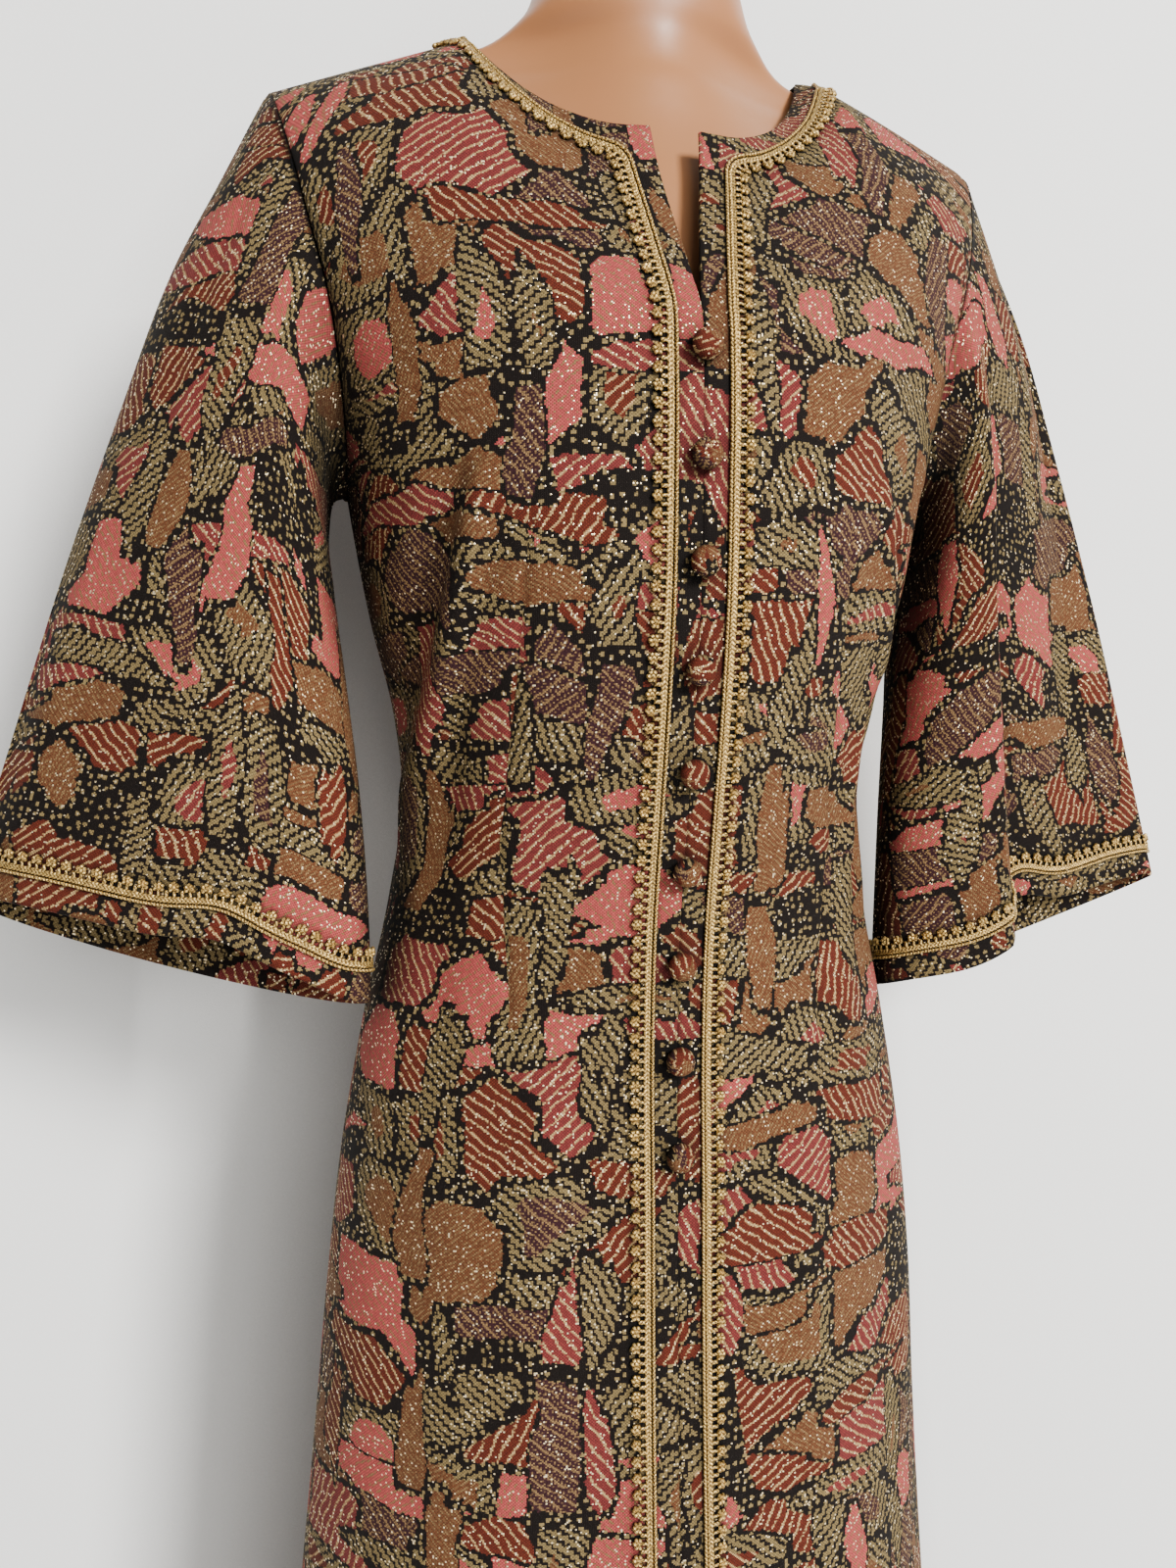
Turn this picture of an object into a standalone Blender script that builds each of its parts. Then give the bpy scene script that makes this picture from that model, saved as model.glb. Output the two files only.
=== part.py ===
"""A long kaftan in patterned jersey with braid trim, on a plain dress form with a pole stand.

Metres, +Z up. The front faces -Y and the wearer's left is at +X.
The origin is on the floor, under the middle of the stand's base.
"""

import math

import bmesh
import bpy
import numpy as np
from mathutils import Vector
from mathutils.bvhtree import BVHTree

COLLECTION = "kaftan_on_dress_form"


def table(columns, *rows):
    """A short table, read by column name."""
    return dict(zip(columns.split(), np.array(rows, float).T))


# Cloth and seams
CLOTH = 0.0016
SEAM_GAP = 0.0003
UNDERARM_HEIGHT = 1.215

# The body of the kaftan, hem to underarm: half width at the side seams, depth of front and back from the
# side seams, squareness of the ring (2 is an ellipse) and height of the skirt's flutes
BODY = table(
    "height half_width front back square flute",
    (0.060, 0.232, 0.172, 0.192, 2.10, 0.0085),
    (0.300, 0.212, 0.146, 0.178, 2.10, 0.0065),
    (0.550, 0.191, 0.124, 0.162, 2.10, 0.0035),
    (0.700, 0.179, 0.111, 0.150, 2.12, 0.0012),
    (0.780, 0.173, 0.106, 0.142, 2.15, 0.0),
    (0.860, 0.164, 0.102, 0.131, 2.15, 0.0),
    (0.930, 0.152, 0.098, 0.114, 2.10, 0.0),
    (1.000, 0.137, 0.101, 0.096, 2.05, 0.0),
    (1.050, 0.130, 0.110, 0.087, 2.05, 0.0),
    (1.100, 0.134, 0.119, 0.088, 2.10, 0.0),
    (1.150, 0.146, 0.125, 0.097, 2.20, 0.0),
    (UNDERARM_HEIGHT, 0.158, 0.1265, 0.108, 2.20, 0.0),
)

# Front above the underarm: centre front and slit edge on the left, armhole on the right, with the angle that
# the ring has turned through at the armhole
FRONT_UPPER = table(
    "in_x in_y in_z out_x out_y out_z turn square",
    (0.0000, -0.1265, 1.240, 0.1595, -0.026, 1.232, 84, 2.15),
    (0.0000, -0.1250, 1.268, 0.1620, -0.044, 1.262, 74, 2.10),
    (0.0000, -0.1210, 1.291, 0.1680, -0.053, 1.305, 64, 2.05),
    (0.0045, -0.1040, 1.325, 0.1780, -0.050, 1.345, 57, 2.00),
    (0.0085, -0.0905, 1.352, 0.1870, -0.036, 1.383, 51, 2.00),
    (0.0115, -0.0805, 1.375, 0.1935, -0.017, 1.410, 47, 2.00),
    (0.0130, -0.0740, 1.392, 0.1960, 0.001, 1.423, 45, 2.00),
)
BACK_UPPER = table(
    "in_x in_y in_z out_x out_y out_z turn square",
    (0.0, 0.111, 1.245, 0.1600, 0.024, 1.232, 84, 2.15),
    (0.0, 0.113, 1.275, 0.1635, 0.045, 1.262, 74, 2.10),
    (0.0, 0.113, 1.310, 0.1700, 0.058, 1.305, 64, 2.05),
    (0.0, 0.109, 1.345, 0.1800, 0.056, 1.345, 57, 2.00),
    (0.0, 0.100, 1.380, 0.1880, 0.041, 1.383, 51, 2.00),
    (0.0, 0.083, 1.415, 0.1940, 0.020, 1.410, 47, 2.00),
    (0.0, 0.062, 1.442, 0.1960, 0.001, 1.423, 45, 2.00),
)

# Necklines, from the middle out to the shoulder seam's neck end
FRONT_NECK = table(
    "x y z",
    (0.0130, -0.0740, 1.392),
    (0.0330, -0.0700, 1.393),
    (0.0510, -0.0600, 1.401),
    (0.0680, -0.0440, 1.416),
    (0.0805, -0.0265, 1.434),
    (0.0930, -0.0020, 1.459),
)
BACK_NECK = table(
    "x y z",
    (0.0000, 0.0620, 1.4420),
    (0.0330, 0.0590, 1.4435),
    (0.0610, 0.0480, 1.4475),
    (0.0810, 0.0290, 1.4530),
    (0.0930, -0.0020, 1.4590),
)
NECK_SHARE = 0.52  # of a panel's width at the top, the rest is shoulder seam
NECK_FADE = 0.085  # height over which the rows lose the neckline's shape
BUST = {"x": 0.082, "z": 1.185, "depth": 0.005, "wide": 0.035, "high": 0.045}
FLUTES = 2  # in each quarter of the skirt

# Sleeve, from the armhole to the hem: its inner line under the arm, its outer line from the shoulder point,
# and how far its front and back layers stand off the plane of those two lines
SLEEVE = table(
    "along in_x in_y in_z out_x out_y out_z front back",
    (0.00, 0.1580, 0.000, 1.2150, 0.1960, 0.001, 1.423, 0.055, 0.058),
    (0.04, 0.1660, -0.001, 1.2140, 0.2050, 0.001, 1.406, 0.056, 0.060),
    (0.10, 0.1695, -0.003, 1.1960, 0.2200, 0.001, 1.377, 0.057, 0.061),
    (0.20, 0.1675, -0.007, 1.1680, 0.2420, 0.002, 1.336, 0.056, 0.060),
    (0.40, 0.1610, -0.014, 1.1130, 0.2740, 0.004, 1.254, 0.050, 0.055),
    (0.60, 0.1550, -0.021, 1.0580, 0.3035, 0.006, 1.171, 0.044, 0.050),
    (0.80, 0.1515, -0.028, 1.0030, 0.3300, 0.008, 1.088, 0.037, 0.046),
    (1.00, 0.1500, -0.034, 0.9500, 0.3570, 0.011, 1.004, 0.031, 0.042),
)
SLEEVE_HEAD_FADE = 0.5
FRONT_HEM_LIFT = 0.010
BACK_HEM_DROP = 0.020
# The deep fold down the front of the left sleeve and the shallow one of the right, placed across the sleeve
# from -1 inside to +1 outside. room is the most of the front's own depth that a fold may take. full is
# how much deeper the hem's front hangs. inner and outer are how far the hem's ends hang from the table's, and
# waves are the front hem's, each with its place, half width and height
LEFT_FOLD = {
    "start": -0.36,
    "end": -0.08,
    "depth": 0.045,
    "room": 0.9,
    "full": 0.016,
    "inner": (0.002, 0.022, -0.011),
    "outer": (0.003, 0.0, -0.008),
    "waves": ((-0.60, 0.30, -0.006), (-0.04, 0.22, 0.012)),
}
RIGHT_FOLD = {
    "start": -0.75,
    "end": 0.30,
    "depth": 0.008,
    "room": 0.9,
    "full": 0.0,
    "inner": (0.0, 0.0, 0.0),
    "outer": (0.0, 0.0, 0.0),
    "waves": ((-0.27, 0.24, 0.0078), (-0.92, 0.18, -0.0085)),
}

# Braid, with a firm straight edge and scallops on its other edge
BRAID = {"inset": 0.012, "firm": 0.008, "scallop": 0.0048, "pitch": 0.0083, "thick": 0.0014, "gap": 0.0006}
BRAID_CLEAR = 0.0005  # least room left between the cloth and the braid's underside
BRAID_END = 0.003  # above the skirt's hem
SLEEVE_BRAID_INSET = 0.015

# Covered buttons on the centre front
BUTTON_TOP = 1.271
BUTTON_PITCH = 0.0489
BUTTON_COUNT = 9
BUTTON_RADIUS = 0.0073
BUTTON_DOME = 0.0054
BUTTON_GAP = 0.0005

# Dress form and stand. slim is the share of the ring's depth that its shoulders have outside the neck
FORM = table(
    "height half_width front back slim",
    (0.7900, 0.1320, 0.074, 0.100, 1.00),
    (0.8000, 0.1460, 0.086, 0.114, 1.00),
    (0.8600, 0.1500, 0.090, 0.118, 1.00),
    (0.9300, 0.1410, 0.087, 0.103, 1.00),
    (1.0000, 0.1270, 0.090, 0.087, 1.00),
    (1.0500, 0.1200, 0.098, 0.078, 1.00),
    (1.1000, 0.1240, 0.107, 0.079, 1.00),
    (1.1500, 0.1350, 0.113, 0.088, 1.00),
    (1.2000, 0.1450, 0.114, 0.097, 1.00),
    (1.2500, 0.1490, 0.109, 0.101, 1.00),
    (1.3000, 0.1560, 0.097, 0.101, 1.00),
    (1.3400, 0.1650, 0.081, 0.095, 0.98),
    (1.3700, 0.1710, 0.069, 0.084, 0.92),
    (1.3950, 0.1760, 0.059, 0.073, 0.76),
    (1.4120, 0.1800, 0.054, 0.064, 0.56),
    (1.4215, 0.1800, 0.052, 0.060, 0.42),
    (1.4303, 0.1670, 0.050, 0.057, 0.31),
    (1.4407, 0.1385, 0.046, 0.055, 0.19),
    (1.4575, 0.0870, 0.044, 0.054, 0.20),
    (1.4700, 0.0690, 0.046, 0.053, 0.80),
    (1.4900, 0.0580, 0.049, 0.053, 1.00),
    (1.5150, 0.0540, 0.048, 0.053, 1.00),
    (1.5270, 0.0500, 0.044, 0.049, 1.00),
    (1.5320, 0.0400, 0.035, 0.039, 1.00),
)
FORM_NECK = 0.062  # half width that the neck's fullness fades over
FORM_SIDES = 32
POLE_RADIUS = 0.0125
BASE_RADIUS = 0.165
BASE_HEIGHT = 0.014
BASE_EDGE = 0.006
PART_GAP = 0.0003

# Rows and columns of the cloth walls
BODY_HEIGHTS = (
    0.060, 0.150, 0.250, 0.350, 0.450, 0.550, 0.640, 0.720, 0.780, 0.830, 0.880, 0.920,
    0.960, 1.000, 1.030, 1.060, 1.090, 1.120, 1.150, 1.180, UNDERARM_HEIGHT,
)  # fmt: skip
UPPER_ROWS = 13
UPPER_CROWDING = 1.35
FRONT_COLUMNS = np.array([0, 0.05, 0.10, 0.16, 0.24, 0.33, 0.42, NECK_SHARE, 0.62, 0.72, 0.82, 0.91, 1.0])
BACK_COLUMNS = np.array([0, 0.14, 0.27, 0.36, 0.44, NECK_SHARE, 0.60, 0.70, 0.80, 0.90, 1.0])
SLEEVE_STATIONS = (0.0, 0.04, 0.10, 0.20, 0.33, 0.48, 0.64, 0.80, 0.89, 1.0)

COLOURS = {
    "jersey": ((0.30, 0.12, 0.09), 0.75, 0.0),
    "braid": ((0.52, 0.36, 0.12), 0.45, 0.35),
    "button": ((0.24, 0.07, 0.05), 0.7, 0.0),
    "form": ((0.62, 0.44, 0.32), 0.35, 0.0),
    "steel": ((0.45, 0.45, 0.46), 0.35, 0.8),
}


def smooth(knots, values, at):
    """Cubic curve through a table's values, with each knot's slope taken from its neighbours."""
    slopes = np.gradient(values, knots)
    i = np.clip(np.searchsorted(knots, at, side="right") - 1, 0, len(knots) - 2)
    step = knots[i + 1] - knots[i]
    t = (at - knots[i]) / step
    start = (1 + 2 * t) * (1 - t) ** 2 * values[i] + t * (1 - t) ** 2 * step * slopes[i]
    end = t * t * (3 - 2 * t) * values[i + 1] + t * t * (t - 1) * step * slopes[i + 1]
    return start + end


def unit(v):
    return v / np.linalg.norm(v, axis=-1, keepdims=True)


def lengths(points):
    """Length along a line of points, up to each of them."""
    return np.concatenate([[0.0], np.cumsum(np.linalg.norm(np.diff(points, axis=0), axis=1))])


class Panel:
    """A front, or half the back. u runs from its middle edge to its side seam and armhole, s up its outer
    edge."""

    def __init__(self, side, upper, neck):
        self.side = side  # -1 is the front, +1 is the back
        depth = BODY["front" if side < 0 else "back"]
        flat = np.zeros_like(depth)
        rows = {
            "in_x": flat,
            "in_y": side * depth,
            "in_z": BODY["height"],
            "out_x": BODY["half_width"],
            "out_y": flat,
            "out_z": BODY["height"],
            "turn": flat + 90.0,
            "square": BODY["square"],
        }
        self.rows = {name: np.concatenate([rows[name], upper[name]]) for name in rows}
        self.rows["flute"] = np.concatenate([BODY["flute"], np.zeros(len(upper["in_x"]))])
        outer = np.stack([self.rows["out_x"], self.rows["out_y"], self.rows["out_z"]], -1)
        self.knots = BODY["height"][0] + lengths(outer)
        self.knots[: len(depth)] = BODY["height"]
        first = len(depth) - 1
        self.knots[first:] = UNDERARM_HEIGHT + lengths(outer[first:])
        self.top = self.knots[-1]
        neck_line = np.stack([neck["x"], neck["y"], neck["z"]], -1)
        share = lengths(neck_line)
        self.neck_u = share / share[-1] * NECK_SHARE
        self.neck_line = neck_line
        self.shoulder_end = outer[-1]

    def ring(self, u, s):
        """Rows as part of a rounded ring, before the neckline is shaped."""
        c = {name: smooth(self.knots, values, s) for name, values in self.rows.items()}
        c["out_y"] = np.where(s > UNDERARM_HEIGHT, c["out_y"], 0)
        turn, power = np.radians(np.minimum(c["turn"], 90)), 2 / c["square"]
        angle = np.clip(u, 0, 1) * turn
        end_sin, end_cos = np.sin(turn) ** power, np.abs(np.cos(turn)) ** power
        across = np.sin(angle) ** power / end_sin
        depth = (np.abs(np.cos(angle)) ** power - end_cos) / (1 - end_cos)
        wave = c["flute"] * np.cos(2 * math.pi * FLUTES * u)
        in_x = np.maximum(c["in_x"], 0)
        x = in_x + (c["out_x"] - in_x) * across + wave * np.sin(angle)
        y = c["out_y"] + (c["in_y"] - c["out_y"]) * depth + self.side * wave * np.cos(angle)
        z = c["in_z"] + (c["out_z"] - c["in_z"]) * across
        return np.stack([x, y, z], -1)

    def top_edge(self, u):
        """Neckline, then the straight shoulder seam."""
        neck = [smooth(self.neck_u, self.neck_line[:, i], np.minimum(u, NECK_SHARE)) for i in range(3)]
        out = np.clip((u - NECK_SHARE) / (1 - NECK_SHARE), 0, 1)[..., None]
        return np.stack(neck, -1) * (1 - out) + self.shoulder_end * out

    def at(self, u, s):
        """Points of the middle of the cloth."""
        u, s = np.broadcast_arrays(np.asarray(u, float), np.asarray(s, float))
        shaped = self.top_edge(u) - self.ring(u, np.full_like(u, self.top))
        fade = np.clip((self.top - s) / NECK_FADE, 0, 1) * math.pi / 2
        level, up = 1 - np.sin(fade), np.cos(fade)
        p = self.ring(u, s) + shaped * np.stack([level, level, up], -1)
        if self.side < 0:
            across = (p[..., 0] - BUST["x"]) / BUST["wide"]
            high = (p[..., 2] - BUST["z"]) / BUST["high"]
            p[..., 1] -= BUST["depth"] * np.exp(-0.5 * (across**2 + high**2))
        return p

    def normal(self, u, s):
        """Outward direction of the cloth, level across the shoulder and side seams."""
        u, s = np.broadcast_arrays(np.asarray(u, float), np.asarray(s, float))
        step = 0.002
        along = self.at(np.minimum(u + step, 1), s) - self.at(np.maximum(u - step, 0), s)
        low, high = np.maximum(s - step, self.knots[0]), np.minimum(s + step, self.top)
        n = -self.side * np.cross(along, self.at(u, high) - self.at(u, low))
        seam = (u > NECK_SHARE - 0.01) & (s > self.top - 0.001)
        seam |= (u > 0.995) & (s < UNDERARM_HEIGHT + 0.001)
        n[..., 1] = np.where(seam, 0, n[..., 1])
        return unit(n)


FRONT = Panel(-1, FRONT_UPPER, FRONT_NECK)
BACK = Panel(1, BACK_UPPER, BACK_NECK)


def armhole_shares():
    """Places of the rows above the underarm, from the shoulder point (0) to the underarm (1). They lie closer
    together at the top."""
    return np.linspace(0, 1, UPPER_ROWS + 1) ** UPPER_CROWDING


def panel_grid(panel, columns):
    """Middle points and normals of half a body, kept clear of its neighbours at each seam."""
    upper = panel.top - armhole_shares()[::-1] * (panel.top - UNDERARM_HEIGHT)
    s = np.concatenate([BODY_HEIGHTS[:-1], upper])[:, None]
    middle, normal = panel.at(columns, s), panel.normal(columns, s)
    inward = unit(middle[:, -2] - middle[:, -1])
    middle[:, -1] += inward * SEAM_GAP / 2
    down = unit(middle[-2] - middle[-1])
    middle[-1] += down * SEAM_GAP / 2
    if panel.side < 0:
        middle[:, 0, 0] += SEAM_GAP / 2
    return middle, normal


def mirrored(points):
    return points * np.array([-1.0, 1.0, 1.0])


def new_object(name, bm, colour, mirror=False):
    """Makes a bmesh an object with its own material. Pieces of the wearer's right are made on the left and
    mirrored."""
    if mirror:
        bmesh.ops.scale(bm, vec=(-1, 1, 1), verts=bm.verts)
    bmesh.ops.recalc_face_normals(bm, faces=bm.faces)
    if bm.calc_volume(signed=True) < 0:
        bmesh.ops.reverse_faces(bm, faces=bm.faces)
    mesh = bpy.data.meshes.new(name)
    bm.to_mesh(mesh)
    bm.free()
    obj = bpy.data.objects.new(name, mesh)
    finish(obj, colour)
    return obj


def finish(obj, colour):
    """Smooth shading, the part's collection and a material of the object's own."""
    obj.data.shade_smooth()
    obj.data.set_sharp_from_angle(angle=math.radians(50))
    for old in obj.users_collection:
        old.objects.unlink(obj)
    bpy.data.collections[COLLECTION].objects.link(obj)
    rgb, roughness, metallic = COLOURS[colour]
    material = bpy.data.materials.new(obj.name)
    material.use_nodes = True
    shader = material.node_tree.nodes["Principled BSDF"]
    shader.inputs["Base Color"].default_value = (*rgb, 1)
    shader.inputs["Roughness"].default_value = roughness
    shader.inputs["Metallic"].default_value = metallic
    obj.data.materials.append(material)


def wall(name, middle, normal, closed=False, mirror=False):
    """A cloth wall through a grid of middle points. closed joins the last column to the first."""
    rows, columns = middle.shape[:2]
    bm = bmesh.new()
    outer = [[bm.verts.new(p) for p in row] for row in middle + normal * CLOTH / 2]
    inner = [[bm.verts.new(p) for p in row] for row in middle - normal * CLOTH / 2]
    last = columns if closed else columns - 1
    for j in range(last):
        k = (j + 1) % columns
        for i in range(rows - 1):
            bm.faces.new((outer[i][j], outer[i][k], outer[i + 1][k]))
            bm.faces.new((outer[i][j], outer[i + 1][k], outer[i + 1][j]))
            bm.faces.new((inner[i][j], inner[i + 1][k], inner[i][k]))
            bm.faces.new((inner[i][j], inner[i + 1][j], inner[i + 1][k]))
        for i in (0, rows - 1):
            bm.faces.new((outer[i][j], inner[i][j], inner[i][k], outer[i][k]))
    if not closed:
        for j in (0, columns - 1):
            for i in range(rows - 1):
                bm.faces.new((outer[i][j], outer[i + 1][j], inner[i + 1][j], inner[i][j]))
    return new_object(name, bm, "jersey", mirror)


def outer_tree(middle, normal):
    """The outer faces of a wall, for what is laid on it."""
    rows, columns = middle.shape[:2]
    points = [Vector(p) for p in (middle + normal * CLOTH / 2).reshape(-1, 3)]
    corners = [i * columns + j for i in range(rows - 1) for j in range(columns - 1)]
    halves = [(a, a + 1, a + columns + 1) for a in corners]
    halves += [(a, a + columns + 1, a + columns) for a in corners]
    return BVHTree.FromPolygons(points, halves)


class Sleeve:
    """One sleeve, on the wearer's left. f runs from the shoulder point (0) down the front to the underarm (1)
    and up the back (2), and along from armhole to hem."""

    def __init__(self, fold):
        self.fold = fold

    def head(self, f):
        """The armhole's line, a seam's gap outside the body."""
        points = np.zeros((len(f), 3))
        for panel, chosen in ((FRONT, f <= 1), (BACK, f > 1)):
            share = np.where(panel is FRONT, f, 2 - f)[chosen]
            s = panel.top - share * (panel.top - UNDERARM_HEIGHT)
            step = 0.001
            edge = panel.at(1.0, s)
            high, low = np.minimum(s + step, panel.top), np.maximum(s - step, UNDERARM_HEIGHT)
            tangent = panel.at(1.0, high) - panel.at(1.0, low)
            away = -panel.side * np.cross(tangent, panel.normal(1.0, s))
            away[share > 0.999] = (0, 0, 1)
            away[share < 0.001, 1] = 0
            points[chosen] = edge + unit(away) * (SEAM_GAP + CLOTH / 2)
        return points

    def lens(self, f, along):
        """The sleeve's flattened ring between its inner and outer lines."""
        c = {name: smooth(SLEEVE["along"], SLEEVE[name], along) for name in SLEEVE}
        inner = np.stack([c["in_x"], c["in_y"], c["in_z"]], -1)
        outer = np.stack([c["out_x"], c["out_y"], c["out_z"]], -1)
        # the columns are crowded at the shoulder point, and even from there down
        half = np.where(f <= 1, f, 2 - f) ** (1 / UPPER_CROWDING)
        across, bulge = np.cos(math.pi * half), np.sin(math.pi * half)
        p = (inner + outer) / 2 + (outer - inner) / 2 * across[..., None]
        front = f <= 1
        p[..., 1] += np.where(front, -c["front"] - self.fold["full"] * along**2, c["back"]) * bulge
        p[..., 2] += np.where(front, FRONT_HEM_LIFT, -BACK_HEM_DROP) * bulge * along**2
        step = np.clip((across - self.fold["start"]) / (self.fold["end"] - self.fold["start"]), 0, 1)
        ends = np.outer((1 - across) / 2, self.fold["inner"]) + np.outer((1 + across) / 2, self.fold["outer"])
        p += ends.reshape(p.shape) * along[..., None] ** 2
        wave = sum(up * np.exp(-(((across - at) / wide) ** 2)) for at, wide, up in self.fold["waves"])
        p[..., 2] += np.where(front, wave, 0) * bulge * along**4
        push = self.fold["depth"] * along**0.6 * step**2 * (3 - 2 * step)
        room = self.fold["room"] * (c["front"] + self.fold["full"] * along**2) * bulge
        p[..., 1] += np.where(front, np.minimum(push, room), 0)
        return p

    def at(self, f, along):
        f, along = np.broadcast_arrays(np.asarray(f, float), np.asarray(along, float))
        head = self.head(f.reshape(-1)).reshape(*f.shape, 3)
        fade = np.clip(1 - along / SLEEVE_HEAD_FADE, 0, 1) ** 2
        return self.lens(f, along) + (head - self.lens(f, np.zeros_like(f))) * fade[..., None]

    def normal(self, f, along):
        f, along = np.broadcast_arrays(np.asarray(f, float), np.asarray(along, float))
        step = 0.004
        around = self.at((f + step) % 2, along) - self.at((f - step) % 2, along)
        down = self.at(f, np.minimum(along + step, 1)) - self.at(f, np.maximum(along - step, 0))
        return unit(np.cross(around, down))

    def grid(self):
        f = np.concatenate([armhole_shares(), 2 - armhole_shares()[-2:0:-1]])
        along = np.array(SLEEVE_STATIONS)[:, None]
        return self.at(f, along), self.normal(f, along)


def divided(points, pitch):
    """A line of points with each stretch split into lengths of about a pitch."""
    out = [points[:1]]
    for a, b in zip(points, points[1:]):
        count = max(1, round(float(np.linalg.norm(b - a)) / pitch))
        out.append(a + (b - a) * (np.arange(1, count + 1) / count)[:, None])
    return np.concatenate(out)


def on_cloth(line, tree):
    """A line of points dropped on the cloth, with the cloth's outward direction at each."""
    hits = [tree.find_nearest(Vector(p)) for p in line]
    return np.array([hit[0] for hit in hits]), np.array([hit[1] for hit in hits])


def into_cloth(line, tree):
    """Directions in the cloth, square to a line of points on its edge."""
    return unit(np.cross(np.gradient(line, axis=0), on_cloth(line, tree)[1]))


def lifts(edges, tree, closed):
    """How far each point of a braid's edges is raised, so that no stretch of its underside dips into the
    cloth."""
    places = [p + n * BRAID["gap"] for p, n in edges]
    lift = [np.zeros(len(p)) for p in places]
    firm, root, tip = range(3)
    count = len(places[firm])
    for i in range(count if closed else count - 1):
        k = (i + 1) % count
        firm_stretches = ((firm, i), (firm, k)), ((firm, i), (root, i)), ((firm, k), (root, k))
        root_stretches = ((firm, i), (root, k)), ((firm, k), (root, i)), ((root, i), (root, k))
        for a, b in firm_stretches + root_stretches + (((root, i), (tip, i)), ((root, k), (tip, i))):
            for share in (0.0, 0.25, 0.5, 0.75, 1.0):
                spot = places[a[0]][a[1]] * (1 - share) + places[b[0]][b[1]] * share
                near, normal = tree.find_nearest(Vector(spot))[:2]
                short = BRAID_CLEAR - (Vector(spot) - near).dot(normal)
                for edge, place in (a, b):
                    lift[edge][place] = max(lift[edge][place], short)
    return [np.clip(values, 0, BRAID["thick"]) for values in lift]


def braid(name, edges, tree, closed=False, mirror=False):
    """A braid that lies over the cloth. edges are its firm line, its scallops' roots and their tips, each as
    points on the cloth with the directions out of it."""
    lift = lifts(edges, tree, closed)
    edges = [(p + n * up[:, None], n) for (p, n), up in zip(edges, lift)]
    bm = bmesh.new()
    low, high = BRAID["gap"], BRAID["gap"] + BRAID["thick"]
    lines = [[[bm.verts.new(v) for v in p + n * height] for p, n in edges] for height in (low, high)]
    (low_firm, low_root, low_tip), (top_firm, top_root, top_tip) = lines
    count = len(low_firm)
    for i in range(count if closed else count - 1):
        k = (i + 1) % count
        bm.faces.new((top_firm[i], top_firm[k], top_root[k], top_root[i]))
        bm.faces.new((top_root[i], top_root[k], top_tip[i]))
        bm.faces.new((low_firm[i], low_root[i], low_root[k], low_firm[k]))
        bm.faces.new((low_root[i], low_tip[i], low_root[k]))
        bm.faces.new((low_firm[i], low_firm[k], top_firm[k], top_firm[i]))
        bm.faces.new((low_root[i], top_root[i], top_tip[i], low_tip[i]))
        bm.faces.new((low_tip[i], top_tip[i], top_root[k], low_root[k]))
    if not closed:
        for i in (0, count - 1):
            bm.faces.new((low_firm[i], top_firm[i], top_root[i], low_root[i]))
    return new_object(name, bm, "braid", mirror)


def edges_beside(line, directions, tree):
    """The braid's edges beside a line: firm, scallop roots, and tips between each two roots."""
    inset, root = BRAID["inset"], BRAID["inset"] + BRAID["firm"]
    tips = line + directions * (root + BRAID["scallop"])
    edges = line + directions * inset, line + directions * root, (tips[1:] + tips[:-1]) / 2
    return [on_cloth(edge, tree) for edge in edges]


def front_braid(name, grid, tree, mirror):
    """Braid up the centre front, round the neck corner and along the neckline to the shoulder seam."""
    inset, width = BRAID["inset"], BRAID["firm"] + BRAID["scallop"]
    centre, neck = grid[:, 0].copy(), grid[-1, : list(FRONT_COLUMNS).index(NECK_SHARE) + 1]
    centre[0] += unit(centre[1] - centre[0]) * BRAID_END
    corner = centre[-1]
    # the lines beside the slit and the neckline meet on the corner's diagonal
    half = math.acos(float(np.dot(unit(centre[-2] - corner), unit(neck[1] - corner)))) / 2
    cut = (inset + width) / math.tan(half)
    centre, neck = divided(centre, BRAID["pitch"]), divided(neck, BRAID["pitch"])
    centre = centre[lengths(centre[::-1])[::-1] > cut]
    neck = neck[lengths(neck) > cut]
    by_centre, by_neck = into_cloth(centre, tree), into_cloth(neck, tree)
    diagonal = unit(by_centre[-1] + by_neck[0])[None] / math.sin(half)
    by_neck[-1] = unit(grid[-1, -1] - neck[-1])
    neck[-1, 1] -= SEAM_GAP
    line = np.concatenate([centre, corner[None], neck])
    directions = np.concatenate([by_centre, diagonal, by_neck])
    return braid(name, edges_beside(line, directions, tree), tree, mirror=mirror)


def back_neck_braid(grid, tree):
    """Braid round the back neckline, from shoulder seam to shoulder seam."""
    middle, reach = len(BACK_COLUMNS) - 1, list(BACK_COLUMNS).index(NECK_SHARE)
    line = divided(grid[-1, middle - reach : middle + reach + 1], BRAID["pitch"])
    directions = into_cloth(line, tree)
    directions[0] = unit(grid[-1, 0] - line[0])
    directions[-1] = mirrored(directions[0])
    line[0, 1] += SEAM_GAP
    line[-1, 1] += SEAM_GAP
    return braid("braid_neck_back", edges_beside(line, directions, tree), tree)


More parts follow.
